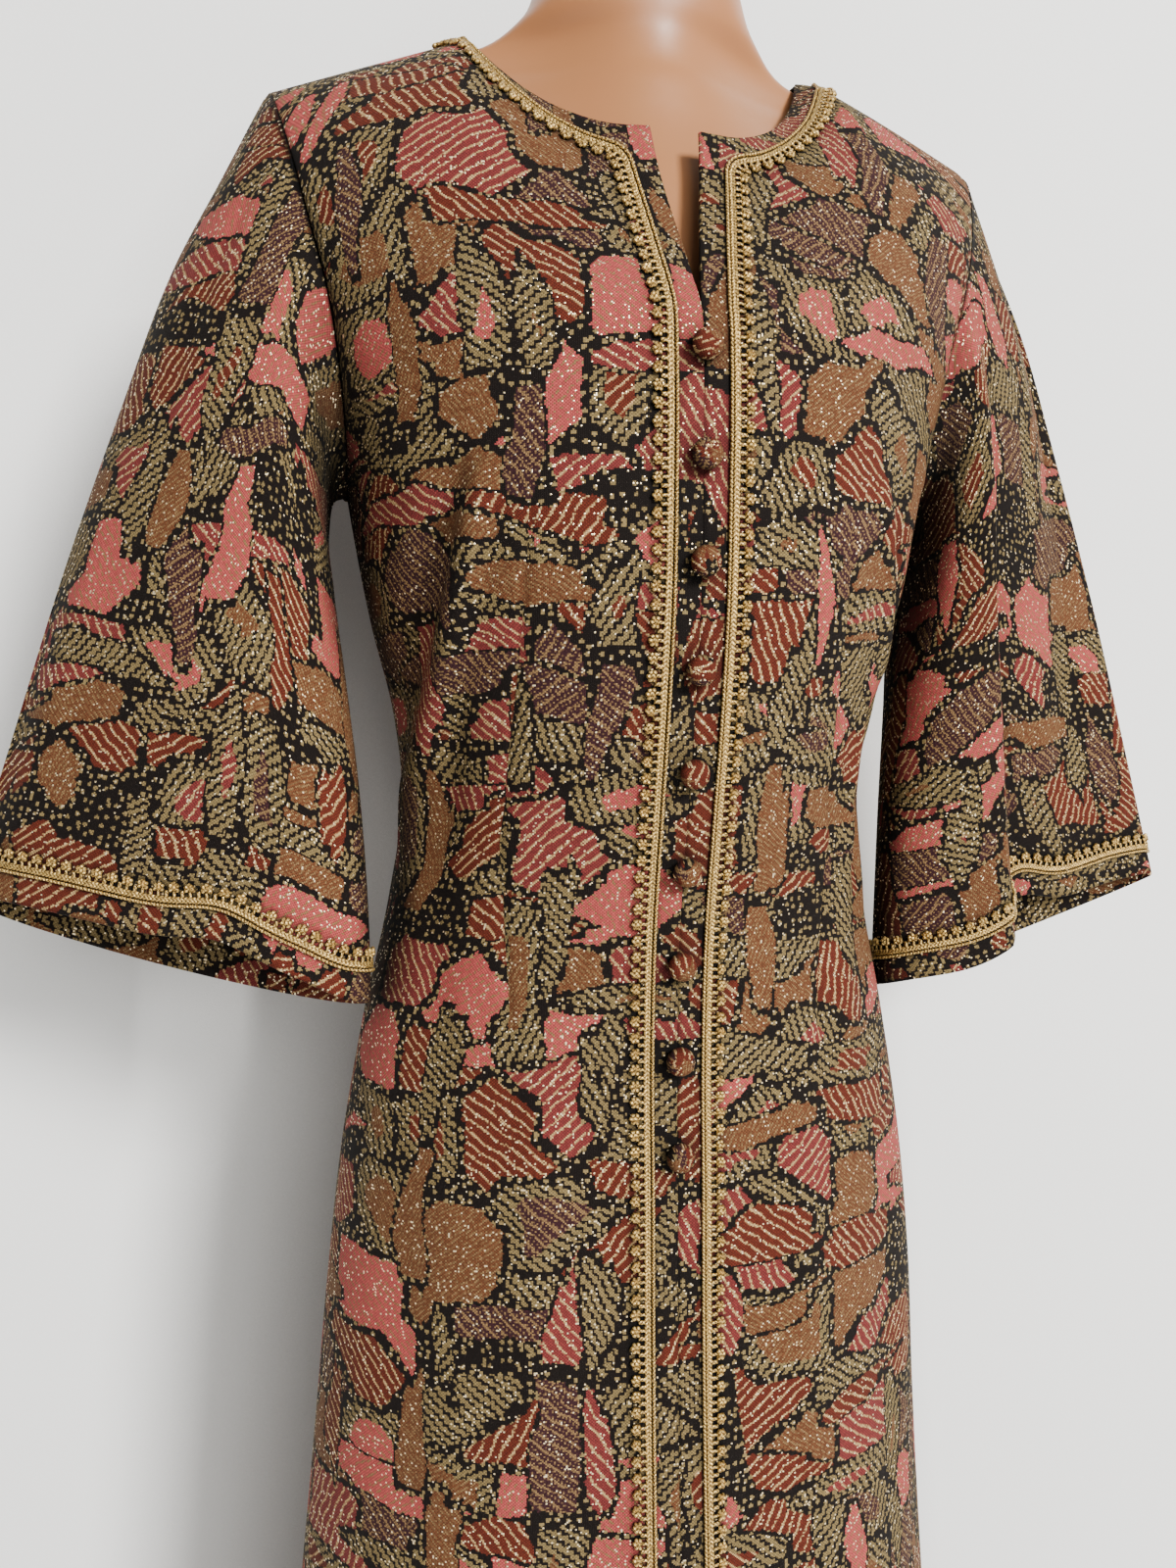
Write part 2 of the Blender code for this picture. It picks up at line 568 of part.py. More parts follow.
def sleeve_braid(name, middle, normal, mirror):
    """Braid round a sleeve above its hem, from the sleeve's last two rows moved out."""
    rows = np.concatenate([middle, normal], axis=-1)[-2:]
    rows = np.concatenate([rows, rows[:, :1]], axis=1)
    counts = np.round(lengths(rows[1, :, :3])[1:] / BRAID["pitch"])
    steps = np.maximum(1, np.diff(counts, prepend=0)).astype(int)
    places = np.concatenate([j + np.arange(n) / n for j, n in enumerate(steps)])
    halfway = (places + np.append(places[1:], len(steps))) / 2

    def edge(at, height):
        columns = np.arange(rows.shape[1])
        above, hem = (np.stack([np.interp(at, columns, row[:, i]) for i in range(6)], -1) for row in rows)
        share = height / np.linalg.norm((above - hem)[:, :3], axis=1)[:, None]
        both = hem + (above - hem) * share
        return both[:, :3] + both[:, 3:] * CLOTH / 2, both[:, 3:]

    root = SLEEVE_BRAID_INSET + BRAID["firm"]
    edges = [edge(places, SLEEVE_BRAID_INSET), edge(places, root), edge(halfway, root + BRAID["scallop"])]
    tree = outer_tree(*(np.concatenate([grid, grid[:, :1]], axis=1) for grid in (middle, normal)))
    return braid(name, edges, tree, closed=True, mirror=mirror)


def buttons():
    """Covered ball buttons down the centre front, each on the join of the two fronts."""
    for i in range(BUTTON_COUNT):
        s = np.interp(BUTTON_TOP - i * BUTTON_PITCH, FRONT.rows["in_z"], FRONT.knots)
        normal = unit(FRONT.normal(0.0, s) * np.array([0.0, 1.0, 1.0]))
        seat = FRONT.at(0.0, s) + normal * (CLOTH / 2 + BUTTON_GAP + BUTTON_DOME)
        bpy.ops.mesh.primitive_uv_sphere_add(segments=10, ring_count=6, radius=BUTTON_RADIUS)
        obj = bpy.context.object
        obj.name = f"button_{i + 1}"
        obj.scale = (1, 1, BUTTON_DOME / BUTTON_RADIUS)
        bpy.ops.object.transform_apply(location=False, rotation=False, scale=True)
        obj.location = seat
        obj.rotation_mode = "QUATERNION"
        obj.rotation_quaternion = Vector(normal).to_track_quat("Z", "Y")
        finish(obj, "button")


def dress_form():
    """Torso and neck in one smooth shell of rings, closed at the neck and under the hips."""
    angle = np.linspace(0, 2 * math.pi, FORM_SIDES, endpoint=False)
    c, s = np.cos(angle), np.sin(angle)
    bm = bmesh.new()
    rings = []
    for i in range(len(FORM["height"])):
        row = {name: values[i] for name, values in FORM.items()}
        x = row["half_width"] * c
        full = row["slim"] + (1 - row["slim"]) * np.exp(-((x / FORM_NECK) ** 2))
        y = np.where(s < 0, row["front"], row["back"]) * s * full
        rings.append([bm.verts.new((px, py, row["height"])) for px, py in zip(x, y)])
    for low, high in zip(rings, rings[1:]):
        for j in range(FORM_SIDES):
            k = (j + 1) % FORM_SIDES
            bm.faces.new((low[j], low[k], high[k], high[j]))
    bm.faces.new(rings[0][::-1])
    bm.faces.new(rings[-1])
    return new_object("dress_form", bm, "form")


def stand():
    """A round base turned from its profile, and a pole up to the form."""
    profile = (
        (0, BASE_HEIGHT),
        (BASE_RADIUS - BASE_EDGE, BASE_HEIGHT),
        (BASE_RADIUS, BASE_HEIGHT - BASE_EDGE),
        (BASE_RADIUS, 0),
        (0, 0),
    )
    mesh = bpy.data.meshes.new("stand_base")
    mesh.from_pydata([(r, 0, z) for r, z in profile], [(i, i + 1) for i in range(len(profile) - 1)], [])
    base = bpy.data.objects.new("stand_base", mesh)
    turned = base.modifiers.new("turned", "SCREW")
    turned.steps = turned.render_steps = 40
    turned.use_merge_vertices = True
    turned.merge_threshold = 0.0001
    finish(base, "steel")
    foot, head = BASE_HEIGHT + PART_GAP, FORM["height"][0] - PART_GAP
    bpy.ops.mesh.primitive_cylinder_add(
        vertices=20, radius=POLE_RADIUS, depth=head - foot, location=(0, 0, (head + foot) / 2)
    )
    bpy.context.object.name = "stand_pole"
    finish(bpy.context.object, "steel")


def main():
    for obj in list(bpy.data.objects):
        bpy.data.objects.remove(obj)
    bpy.context.scene.collection.children.link(bpy.data.collections.new(COLLECTION))

    front, front_normal = panel_grid(FRONT, FRONT_COLUMNS)
    front_tree = outer_tree(front, front_normal)
    half, half_normal = panel_grid(BACK, BACK_COLUMNS)
    back = np.concatenate([half[:, :0:-1], mirrored(half)], axis=1)
    back_normal = np.concatenate([half_normal[:, :0:-1], mirrored(half_normal)], axis=1)
    wall("back", back, back_normal)
    back_neck_braid(back, outer_tree(back, back_normal))

    for hand, fold, mirror in (("left", LEFT_FOLD, False), ("right", RIGHT_FOLD, True)):
        wall(f"front_{hand}", front, front_normal, mirror=mirror)
        front_braid(f"braid_{hand}", front, front_tree, mirror)
        sleeve = Sleeve(fold)
        middle, normal = sleeve.grid()
        wall(f"sleeve_{hand}", middle, normal, closed=True, mirror=mirror)
        sleeve_braid(f"braid_sleeve_{hand}", middle, normal, mirror)

    buttons()
    dress_form()
    stand()


main()
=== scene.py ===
"""A long kaftan in patterned jersey with braid trim, on a plain dress form, as it is photographed.

Metres, +Z up. The front faces -Y and the wearer's left is at +X.
"""

import math

import bpy
import numpy as np
from mathutils import Matrix, Vector
from mathutils.bvhtree import BVHTree


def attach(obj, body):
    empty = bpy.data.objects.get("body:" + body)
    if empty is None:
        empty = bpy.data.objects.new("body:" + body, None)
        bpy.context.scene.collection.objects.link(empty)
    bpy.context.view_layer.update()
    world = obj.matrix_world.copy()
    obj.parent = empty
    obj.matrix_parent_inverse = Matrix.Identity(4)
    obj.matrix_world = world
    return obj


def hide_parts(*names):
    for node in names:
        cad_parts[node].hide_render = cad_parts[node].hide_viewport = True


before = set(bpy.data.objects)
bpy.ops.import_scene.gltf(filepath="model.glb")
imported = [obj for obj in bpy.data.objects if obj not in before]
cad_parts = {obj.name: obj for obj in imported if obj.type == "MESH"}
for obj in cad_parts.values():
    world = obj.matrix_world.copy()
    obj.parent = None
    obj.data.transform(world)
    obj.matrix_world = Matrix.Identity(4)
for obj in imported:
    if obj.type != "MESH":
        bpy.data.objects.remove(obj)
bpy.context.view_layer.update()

# Sizes shared with the part


def table(columns, *rows):
    """A short table, read by column name."""
    return dict(zip(columns.split(), np.array(rows, float).T))


# Cloth and seams
CLOTH = 0.0016
SEAM_GAP = 0.0003
UNDERARM_HEIGHT = 1.215

# The body of the kaftan, hem to underarm: half width at the side seams, depth of front and back from the side
# seams, squareness of the ring (2 is an ellipse) and height of the skirt's flutes
BODY = table(
    "height half_width front back square flute",
    (0.060, 0.232, 0.172, 0.192, 2.10, 0.0085),
    (0.300, 0.212, 0.146, 0.178, 2.10, 0.0065),
    (0.550, 0.191, 0.124, 0.162, 2.10, 0.0035),
    (0.700, 0.179, 0.111, 0.150, 2.12, 0.0012),
    (0.780, 0.173, 0.106, 0.142, 2.15, 0.0),
    (0.860, 0.164, 0.102, 0.131, 2.15, 0.0),
    (0.930, 0.152, 0.098, 0.114, 2.10, 0.0),
    (1.000, 0.137, 0.101, 0.096, 2.05, 0.0),
    (1.050, 0.130, 0.110, 0.087, 2.05, 0.0),
    (1.100, 0.134, 0.119, 0.088, 2.10, 0.0),
    (1.150, 0.146, 0.125, 0.097, 2.20, 0.0),
    (UNDERARM_HEIGHT, 0.158, 0.1265, 0.108, 2.20, 0.0),
)

# Front above the underarm: centre front and slit edge on the left, armhole on the right, with the angle that the
# ring has turned through at the armhole
FRONT_UPPER = table(
    "in_x in_y in_z out_x out_y out_z turn square",
    (0.0000, -0.1265, 1.240, 0.1595, -0.026, 1.232, 84, 2.15),
    (0.0000, -0.1250, 1.268, 0.1620, -0.044, 1.262, 74, 2.10),
    (0.0000, -0.1210, 1.291, 0.1680, -0.053, 1.305, 64, 2.05),
    (0.0045, -0.1040, 1.325, 0.1780, -0.050, 1.345, 57, 2.00),
    (0.0085, -0.0905, 1.352, 0.1870, -0.036, 1.383, 51, 2.00),
    (0.0115, -0.0805, 1.375, 0.1935, -0.017, 1.410, 47, 2.00),
    (0.0130, -0.0740, 1.392, 0.1960, 0.001, 1.423, 45, 2.00),
)
BACK_UPPER = table(
    "in_x in_y in_z out_x out_y out_z turn square",
    (0.0, 0.111, 1.245, 0.1600, 0.024, 1.232, 84, 2.15),
    (0.0, 0.113, 1.275, 0.1635, 0.045, 1.262, 74, 2.10),
    (0.0, 0.113, 1.310, 0.1700, 0.058, 1.305, 64, 2.05),
    (0.0, 0.109, 1.345, 0.1800, 0.056, 1.345, 57, 2.00),
    (0.0, 0.100, 1.380, 0.1880, 0.041, 1.383, 51, 2.00),
    (0.0, 0.083, 1.415, 0.1940, 0.020, 1.410, 47, 2.00),
    (0.0, 0.062, 1.442, 0.1960, 0.001, 1.423, 45, 2.00),
)

# Necklines, from the middle out to the shoulder seam's neck end
FRONT_NECK = table(
    "x y z",
    (0.0130, -0.0740, 1.392),
    (0.0330, -0.0700, 1.393),
    (0.0510, -0.0600, 1.401),
    (0.0680, -0.0440, 1.416),
    (0.0805, -0.0265, 1.434),
    (0.0930, -0.0020, 1.459),
)
BACK_NECK = table(
    "x y z",
    (0.0000, 0.0620, 1.4420),
    (0.0330, 0.0590, 1.4435),
    (0.0610, 0.0480, 1.4475),
    (0.0810, 0.0290, 1.4530),
    (0.0930, -0.0020, 1.4590),
)
NECK_SHARE = 0.52  # of a panel's width at the top, the rest is shoulder seam
NECK_FADE = 0.085  # height over which the rows lose the neckline's shape
BUST = {"x": 0.082, "z": 1.185, "depth": 0.005, "wide": 0.035, "high": 0.045}
FLUTES = 2  # in each quarter of the skirt

# Sleeve, from the armhole to the hem: its inner line under the arm, its outer line from the shoulder point,
# and how far its front and back layers stand off the plane of those two lines
SLEEVE = table(
    "along in_x in_y in_z out_x out_y out_z front back",
    (0.00, 0.1580, 0.000, 1.2150, 0.1960, 0.001, 1.423, 0.055, 0.058),
    (0.04, 0.1660, -0.001, 1.2140, 0.2050, 0.001, 1.406, 0.056, 0.060),
    (0.10, 0.1695, -0.003, 1.1960, 0.2200, 0.001, 1.377, 0.057, 0.061),
    (0.20, 0.1675, -0.007, 1.1680, 0.2420, 0.002, 1.336, 0.056, 0.060),
    (0.40, 0.1610, -0.014, 1.1130, 0.2740, 0.004, 1.254, 0.050, 0.055),
    (0.60, 0.1550, -0.021, 1.0580, 0.3035, 0.006, 1.171, 0.044, 0.050),
    (0.80, 0.1515, -0.028, 1.0030, 0.3300, 0.008, 1.088, 0.037, 0.046),
    (1.00, 0.1500, -0.034, 0.9500, 0.3570, 0.011, 1.004, 0.031, 0.042),
)
SLEEVE_HEAD_FADE = 0.5
FRONT_HEM_LIFT = 0.010
BACK_HEM_DROP = 0.020
# The deep fold down the front of the left sleeve and the shallow one of the right, placed across the sleeve
# from -1 inside to +1 outside. room is the most of the front's own depth that a fold may take. full is
# how much deeper the hem's front hangs. inner and outer are how far the hem's ends hang from the table's, and
# waves are the front hem's, each with its place, half width and height
LEFT_FOLD = {
    "start": -0.36,
    "end": -0.08,
    "depth": 0.045,
    "room": 0.9,
    "full": 0.016,
    "inner": (0.002, 0.022, -0.011),
    "outer": (0.003, 0.0, -0.008),
    "waves": ((-0.60, 0.30, -0.006), (-0.04, 0.22, 0.012)),
}
RIGHT_FOLD = {
    "start": -0.75,
    "end": 0.30,
    "depth": 0.008,
    "room": 0.9,
    "full": 0.0,
    "inner": (0.0, 0.0, 0.0),
    "outer": (0.0, 0.0, 0.0),
    "waves": ((-0.27, 0.24, 0.0078), (-0.92, 0.18, -0.0085)),
}

FORM = table(
    "height half_width front back slim",
    (0.7900, 0.1320, 0.074, 0.100, 1.00),
    (0.8000, 0.1460, 0.086, 0.114, 1.00),
    (0.8600, 0.1500, 0.090, 0.118, 1.00),
    (0.9300, 0.1410, 0.087, 0.103, 1.00),
    (1.0000, 0.1270, 0.090, 0.087, 1.00),
    (1.0500, 0.1200, 0.098, 0.078, 1.00),
    (1.1000, 0.1240, 0.107, 0.079, 1.00),
    (1.1500, 0.1350, 0.113, 0.088, 1.00),
    (1.2000, 0.1450, 0.114, 0.097, 1.00),
    (1.2500, 0.1490, 0.109, 0.101, 1.00),
    (1.3000, 0.1560, 0.097, 0.101, 1.00),
    (1.3400, 0.1650, 0.081, 0.095, 0.98),
    (1.3700, 0.1710, 0.069, 0.084, 0.92),
    (1.3950, 0.1760, 0.059, 0.073, 0.76),
    (1.4120, 0.1800, 0.054, 0.064, 0.56),
    (1.4215, 0.1800, 0.052, 0.060, 0.42),
    (1.4303, 0.1670, 0.050, 0.057, 0.31),
    (1.4407, 0.1385, 0.046, 0.055, 0.19),
    (1.4575, 0.0870, 0.044, 0.054, 0.20),
    (1.4700, 0.0690, 0.046, 0.053, 0.80),
    (1.4900, 0.0580, 0.049, 0.053, 1.00),
    (1.5150, 0.0540, 0.048, 0.053, 1.00),
    (1.5270, 0.0500, 0.044, 0.049, 1.00),
    (1.5320, 0.0400, 0.035, 0.039, 1.00),
)
FORM_NECK = 0.062  # half width that the neck's fullness fades over
POLE_RADIUS = 0.0125
BASE_RADIUS = 0.165
BASE_HEIGHT = 0.014
PART_GAP = 0.0003
UPPER_CROWDING = 1.35

BRAID = {"inset": 0.012, "width": 0.0128, "pitch": 0.0083, "gap": 0.0005}
BRAID_END = 0.003  # above the skirt's hem
SLEEVE_BRAID_INSET = 0.015
BUTTON = {"top": 1.271, "pitch": 0.0489, "count": 9, "radius": 0.0073, "dome": 0.0054, "gap": 0.0003}


def smooth(knots, values, at):
    """Cubic curve through a table's values, with each knot's slope taken from its neighbours."""
    slopes = np.gradient(values, knots)
    i = np.clip(np.searchsorted(knots, at, side="right") - 1, 0, len(knots) - 2)
    step = knots[i + 1] - knots[i]
    t = (at - knots[i]) / step
    start = (1 + 2 * t) * (1 - t) ** 2 * values[i] + t * (1 - t) ** 2 * step * slopes[i]
    end = t * t * (3 - 2 * t) * values[i + 1] + t * t * (t - 1) * step * slopes[i + 1]
    return start + end


def unit(v):
    return v / np.linalg.norm(v, axis=-1, keepdims=True)


def lengths(points):
    """Length along a line of points, up to each of them."""
    return np.concatenate([[0.0], np.cumsum(np.linalg.norm(np.diff(points, axis=0), axis=1))])


class Panel:
    """A front, or half the back: u runs from its middle edge to its side seam and armhole, s up its outer edge."""

    def __init__(self, side, upper, neck):
        self.side = side  # -1 is the front, +1 is the back
        depth = BODY["front" if side < 0 else "back"]
        flat = np.zeros_like(depth)
        rows = {
            "in_x": flat,
            "in_y": side * depth,
            "in_z": BODY["height"],
            "out_x": BODY["half_width"],
            "out_y": flat,
            "out_z": BODY["height"],
            "turn": flat + 90.0,
            "square": BODY["square"],
        }
        self.rows = {name: np.concatenate([rows[name], upper[name]]) for name in rows}
        self.rows["flute"] = np.concatenate([BODY["flute"], np.zeros(len(upper["in_x"]))])
        outer = np.stack([self.rows["out_x"], self.rows["out_y"], self.rows["out_z"]], -1)
        self.knots = BODY["height"][0] + lengths(outer)
        self.knots[: len(depth)] = BODY["height"]
        first = len(depth) - 1
        self.knots[first:] = UNDERARM_HEIGHT + lengths(outer[first:])
        self.top = self.knots[-1]
        neck_line = np.stack([neck["x"], neck["y"], neck["z"]], -1)
        share = lengths(neck_line)
        self.neck_u = share / share[-1] * NECK_SHARE
        self.neck_line = neck_line
        self.shoulder_end = outer[-1]

    def ring(self, u, s):
        """Rows as part of a rounded ring, before the neckline is shaped."""
        c = {name: smooth(self.knots, values, s) for name, values in self.rows.items()}
        c["out_y"] = np.where(s > UNDERARM_HEIGHT, c["out_y"], 0)
        turn, power = np.radians(np.minimum(c["turn"], 90)), 2 / c["square"]
        angle = np.clip(u, 0, 1) * turn
        end_sin, end_cos = np.sin(turn) ** power, np.abs(np.cos(turn)) ** power
        across = np.sin(angle) ** power / end_sin
        depth = (np.abs(np.cos(angle)) ** power - end_cos) / (1 - end_cos)
        wave = c["flute"] * np.cos(2 * math.pi * FLUTES * u)
        in_x = np.maximum(c["in_x"], 0)
        x = in_x + (c["out_x"] - in_x) * across + wave * np.sin(angle)
        y = c["out_y"] + (c["in_y"] - c["out_y"]) * depth + self.side * wave * np.cos(angle)
        z = c["in_z"] + (c["out_z"] - c["in_z"]) * across
        return np.stack([x, y, z], -1)

    def top_edge(self, u):
        """Neckline, then the straight shoulder seam."""
        neck = [smooth(self.neck_u, self.neck_line[:, i], np.minimum(u, NECK_SHARE)) for i in range(3)]
        out = np.clip((u - NECK_SHARE) / (1 - NECK_SHARE), 0, 1)[..., None]
        return np.stack(neck, -1) * (1 - out) + self.shoulder_end * out

    def at(self, u, s):
        """Points of the middle of the cloth."""
        u, s = np.broadcast_arrays(np.asarray(u, float), np.asarray(s, float))
        shaped = self.top_edge(u) - self.ring(u, np.full_like(u, self.top))
        fade = np.clip((self.top - s) / NECK_FADE, 0, 1) * math.pi / 2
        level, up = 1 - np.sin(fade), np.cos(fade)
        p = self.ring(u, s) + shaped * np.stack([level, level, up], -1)
        if self.side < 0:
            across = (p[..., 0] - BUST["x"]) / BUST["wide"]
            high = (p[..., 2] - BUST["z"]) / BUST["high"]
            p[..., 1] -= BUST["depth"] * np.exp(-0.5 * (across**2 + high**2))
        return p

    def normal(self, u, s):
        """Outward direction of the cloth, level across the shoulder and side seams."""
        u, s = np.broadcast_arrays(np.asarray(u, float), np.asarray(s, float))
        step = 0.002
        along = self.at(np.minimum(u + step, 1), s) - self.at(np.maximum(u - step, 0), s)
        low, high = np.maximum(s - step, self.knots[0]), np.minimum(s + step, self.top)
        n = -self.side * np.cross(along, self.at(u, high) - self.at(u, low))
        seam = (u > NECK_SHARE - 0.01) & (s > self.top - 0.001)
        seam |= (u > 0.995) & (s < UNDERARM_HEIGHT + 0.001)
        n[..., 1] = np.where(seam, 0, n[..., 1])
        return unit(n)


FRONT = Panel(-1, FRONT_UPPER, FRONT_NECK)
BACK = Panel(1, BACK_UPPER, BACK_NECK)


def armhole_shares():
    """Places of the rows above the underarm, from the shoulder point (0) to the underarm (1), closer at the top."""
    return np.linspace(0, 1, UPPER_ROWS + 1) ** UPPER_CROWDING


class Sleeve:
    """One sleeve, on the wearer's left: f runs from the shoulder point (0) down the front to the underarm (1) and
    up the back (2), along from armhole to hem."""

    def __init__(self, fold):
        self.fold = fold

    def head(self, f):
        """The armhole's line, a seam's gap outside the body."""
        points = np.zeros((len(f), 3))
        for panel, chosen in ((FRONT, f <= 1), (BACK, f > 1)):
            share = np.where(panel is FRONT, f, 2 - f)[chosen]
            s = panel.top - share * (panel.top - UNDERARM_HEIGHT)
            step = 0.001
            edge = panel.at(1.0, s)
            high, low = np.minimum(s + step, panel.top), np.maximum(s - step, UNDERARM_HEIGHT)
            tangent = panel.at(1.0, high) - panel.at(1.0, low)
            away = -panel.side * np.cross(tangent, panel.normal(1.0, s))
            away[share > 0.999] = (0, 0, 1)
            away[share < 0.001, 1] = 0
            points[chosen] = edge + unit(away) * (SEAM_GAP + CLOTH / 2)
        return points

    def lens(self, f, along):
        """The sleeve's flattened ring between its inner and outer lines."""
        c = {name: smooth(SLEEVE["along"], SLEEVE[name], along) for name in SLEEVE}
        inner = np.stack([c["in_x"], c["in_y"], c["in_z"]], -1)
        outer = np.stack([c["out_x"], c["out_y"], c["out_z"]], -1)
        # the columns are crowded at the shoulder point, and even from there down
        half = np.where(f <= 1, f, 2 - f) ** (1 / UPPER_CROWDING)
        across, bulge = np.cos(math.pi * half), np.sin(math.pi * half)
        p = (inner + outer) / 2 + (outer - inner) / 2 * across[..., None]
        front = f <= 1
        p[..., 1] += np.where(front, -c["front"] - self.fold["full"] * along**2, c["back"]) * bulge
        p[..., 2] += np.where(front, FRONT_HEM_LIFT, -BACK_HEM_DROP) * bulge * along**2
        step = np.clip((across - self.fold["start"]) / (self.fold["end"] - self.fold["start"]), 0, 1)
        ends = np.outer((1 - across) / 2, self.fold["inner"]) + np.outer((1 + across) / 2, self.fold["outer"])
        p += ends.reshape(p.shape) * along[..., None] ** 2
        wave = sum(up * np.exp(-(((across - at) / wide) ** 2)) for at, wide, up in self.fold["waves"])
        p[..., 2] += np.where(front, wave, 0) * bulge * along**4
        push = self.fold["depth"] * along**0.6 * step**2 * (3 - 2 * step)
        room = self.fold["room"] * (c["front"] + self.fold["full"] * along**2) * bulge
        p[..., 1] += np.where(front, np.minimum(push, room), 0)
        return p

    def at(self, f, along):
        f, along = np.broadcast_arrays(np.asarray(f, float), np.asarray(along, float))
        head = self.head(f.reshape(-1)).reshape(*f.shape, 3)
        fade = np.clip(1 - along / SLEEVE_HEAD_FADE, 0, 1) ** 2
        return self.lens(f, along) + (head - self.lens(f, np.zeros_like(f))) * fade[..., None]

    def normal(self, f, along):
        f, along = np.broadcast_arrays(np.asarray(f, float), np.asarray(along, float))
        step = 0.004
        around = self.at((f + step) % 2, along) - self.at((f - step) % 2, along)
        down = self.at(f, np.minimum(along + step, 1)) - self.at(f, np.maximum(along - step, 0))
        return unit(np.cross(around, down))


# Fine rows and columns: steps in metres up the panel, columns before and after the neck's end
ROW_STEP = 0.0052
FRONT_COUNTS = (50, 42)
BACK_COUNTS = (38, 36)
SLEEVE_COUNTS = (64, 92)
HEM = {"turn": 0.034, "thick": 0.0009}  # folded-in edges are thicker inside
SEAM = {"depth": 0.0009, "width": 0.0032}
CREASE_EDGE = 0.018  # creases fade out this near a panel's edges

# Waist darts: column share, and where each one starts and ends, with the cloth that it takes in
DARTS = {
    "front": {"column": 0.36, "x": ((0.93, 0.082), (1.04, 0.088), (1.12, 0.083), (1.197, 0.080)), "intake": 0.026},
    "back": {"column": 0.36, "x": ((0.90, 0.078), (1.05, 0.074), (1.22, 0.080)), "intake": 0.030},
}

CREASES = "x0 z0 x1 z1 width depth bow"
# Soft ridges (+) and troughs (-) in the body's cloth, as lines from one point to another: across from the
# middle and up, half width, depth and how far the line bows
FRONT_CREASES = table(
    CREASES,
    (0.100, 1.222, 0.128, 1.085, 0.0060, 0.0042, 0.000),
    (0.112, 1.225, 0.141, 1.090, 0.0075, -0.0060, 0.000),
    (0.120, 1.110, 0.132, 0.990, 0.0080, 0.0026, 0.002),
    (0.108, 1.120, 0.116, 1.010, 0.0060, -0.0022, 0.002),
    (0.020, 1.060, 0.130, 1.052, 0.0090, -0.0016, -0.004),
    (0.030, 1.042, 0.118, 1.036, 0.0070, 0.0012, 0.003),
    (0.092, 1.190, 0.150, 1.232, 0.0100, 0.0022, 0.004),
    (0.070, 0.960, 0.100, 0.560, 0.0160, 0.0030, 0.010),
    (0.135, 0.900, 0.170, 0.400, 0.0180, -0.0034, 0.012),
    (0.030, 0.820, 0.045, 0.300, 0.0150, -0.0020, -0.006),
)
LEFT_CREASES = table(
    CREASES,
    (0.090, 1.300, 0.150, 1.262, 0.0080, -0.0018, 0.004),
    (0.104, 1.020, 0.112, 0.880, 0.0100, 0.0024, 0.003),
    (0.110, 1.130, 0.103, 1.000, 0.0052, 0.0048, 0.001),
    (0.122, 1.130, 0.116, 1.000, 0.0056, -0.0040, 0.001),
    (0.050, 0.700, 0.062, 0.180, 0.0220, 0.0036, 0.006),
)
RIGHT_CREASES = table(
    CREASES,
    (0.100, 1.285, 0.152, 1.250, 0.0090, 0.0020, -0.003),
    (0.118, 1.030, 0.128, 0.870, 0.0100, -0.0022, 0.004),
    (0.096, 1.225, 0.136, 1.020, 0.0056, 0.0052, 0.003),
    (0.108, 1.225, 0.149, 1.020, 0.0066, -0.0046, 0.003),
    (0.090, 0.640, 0.110, 0.150, 0.0200, -0.0032, -0.006),
)
BACK_CREASES = table(
    CREASES,
    (0.030, 1.085, 0.135, 1.070, 0.0100, -0.0028, -0.006),
    (0.015, 1.050, 0.120, 1.040, 0.0090, 0.0022, 0.005),
    (0.040, 1.020, 0.128, 1.012, 0.0090, -0.0022, 0.003),
    (0.095, 1.180, 0.150, 1.236, 0.0110, -0.0034, 0.004),
    (0.080, 1.200, 0.138, 1.262, 0.0100, 0.0026, 0.002),
    (0.060, 0.900, 0.085, 0.420, 0.0200, 0.0036, 0.010),
    (0.130, 0.860, 0.165, 0.300, 0.0220, -0.0040, 0.010),
    (0.010, 0.800, 0.020, 0.250, 0.0180, -0.0026, 0.004),
)
BACK_RIGHT_CREASES = table(
    CREASES,
    (0.050, 1.130, 0.125, 1.105, 0.0100, -0.0020, 0.004),
    (0.100, 0.700, 0.120, 0.200, 0.0220, 0.0030, -0.008),
)

# Sleeve creases: across from -1 inside to +1 outside, and along from 0 at the armhole to 1 at the hem
SLEEVE_CREASES = "across0 along0 across1 along1 width depth bow"
LEFT_SLEEVE_FRONT = table(
    SLEEVE_CREASES,
    (0.62, 0.05, 0.46, 0.55, 0.080, 0.0014, 0.03),
    (-0.30, 0.22, -0.10, 0.95, 0.090, -0.0022, 0.03),
    (0.50, 0.50, 0.72, 1.02, 0.110, -0.0026, 0.04),
    (0.20, 0.45, 0.34, 1.02, 0.090, 0.0020, 0.02),
)
RIGHT_SLEEVE_FRONT = table(
    SLEEVE_CREASES,
    (0.55, 0.02, 0.62, 0.40, 0.070, -0.0016, 0.02),
    (-0.60, 0.20, -0.30, 0.95, 0.080, -0.0018, 0.02),
    (0.80, 0.45, 0.74, 1.02, 0.100, 0.0024, 0.03),
)
SLEEVE_BACK = table(
    SLEEVE_CREASES,
    (0.10, 0.10, 0.20, 0.98, 0.110, -0.0040, 0.04),
    (-0.35, 0.20, -0.30, 1.00, 0.100, 0.0034, 0.03),
    (0.55, 0.15, 0.60, 1.00, 0.110, 0.0030, -0.03),
)


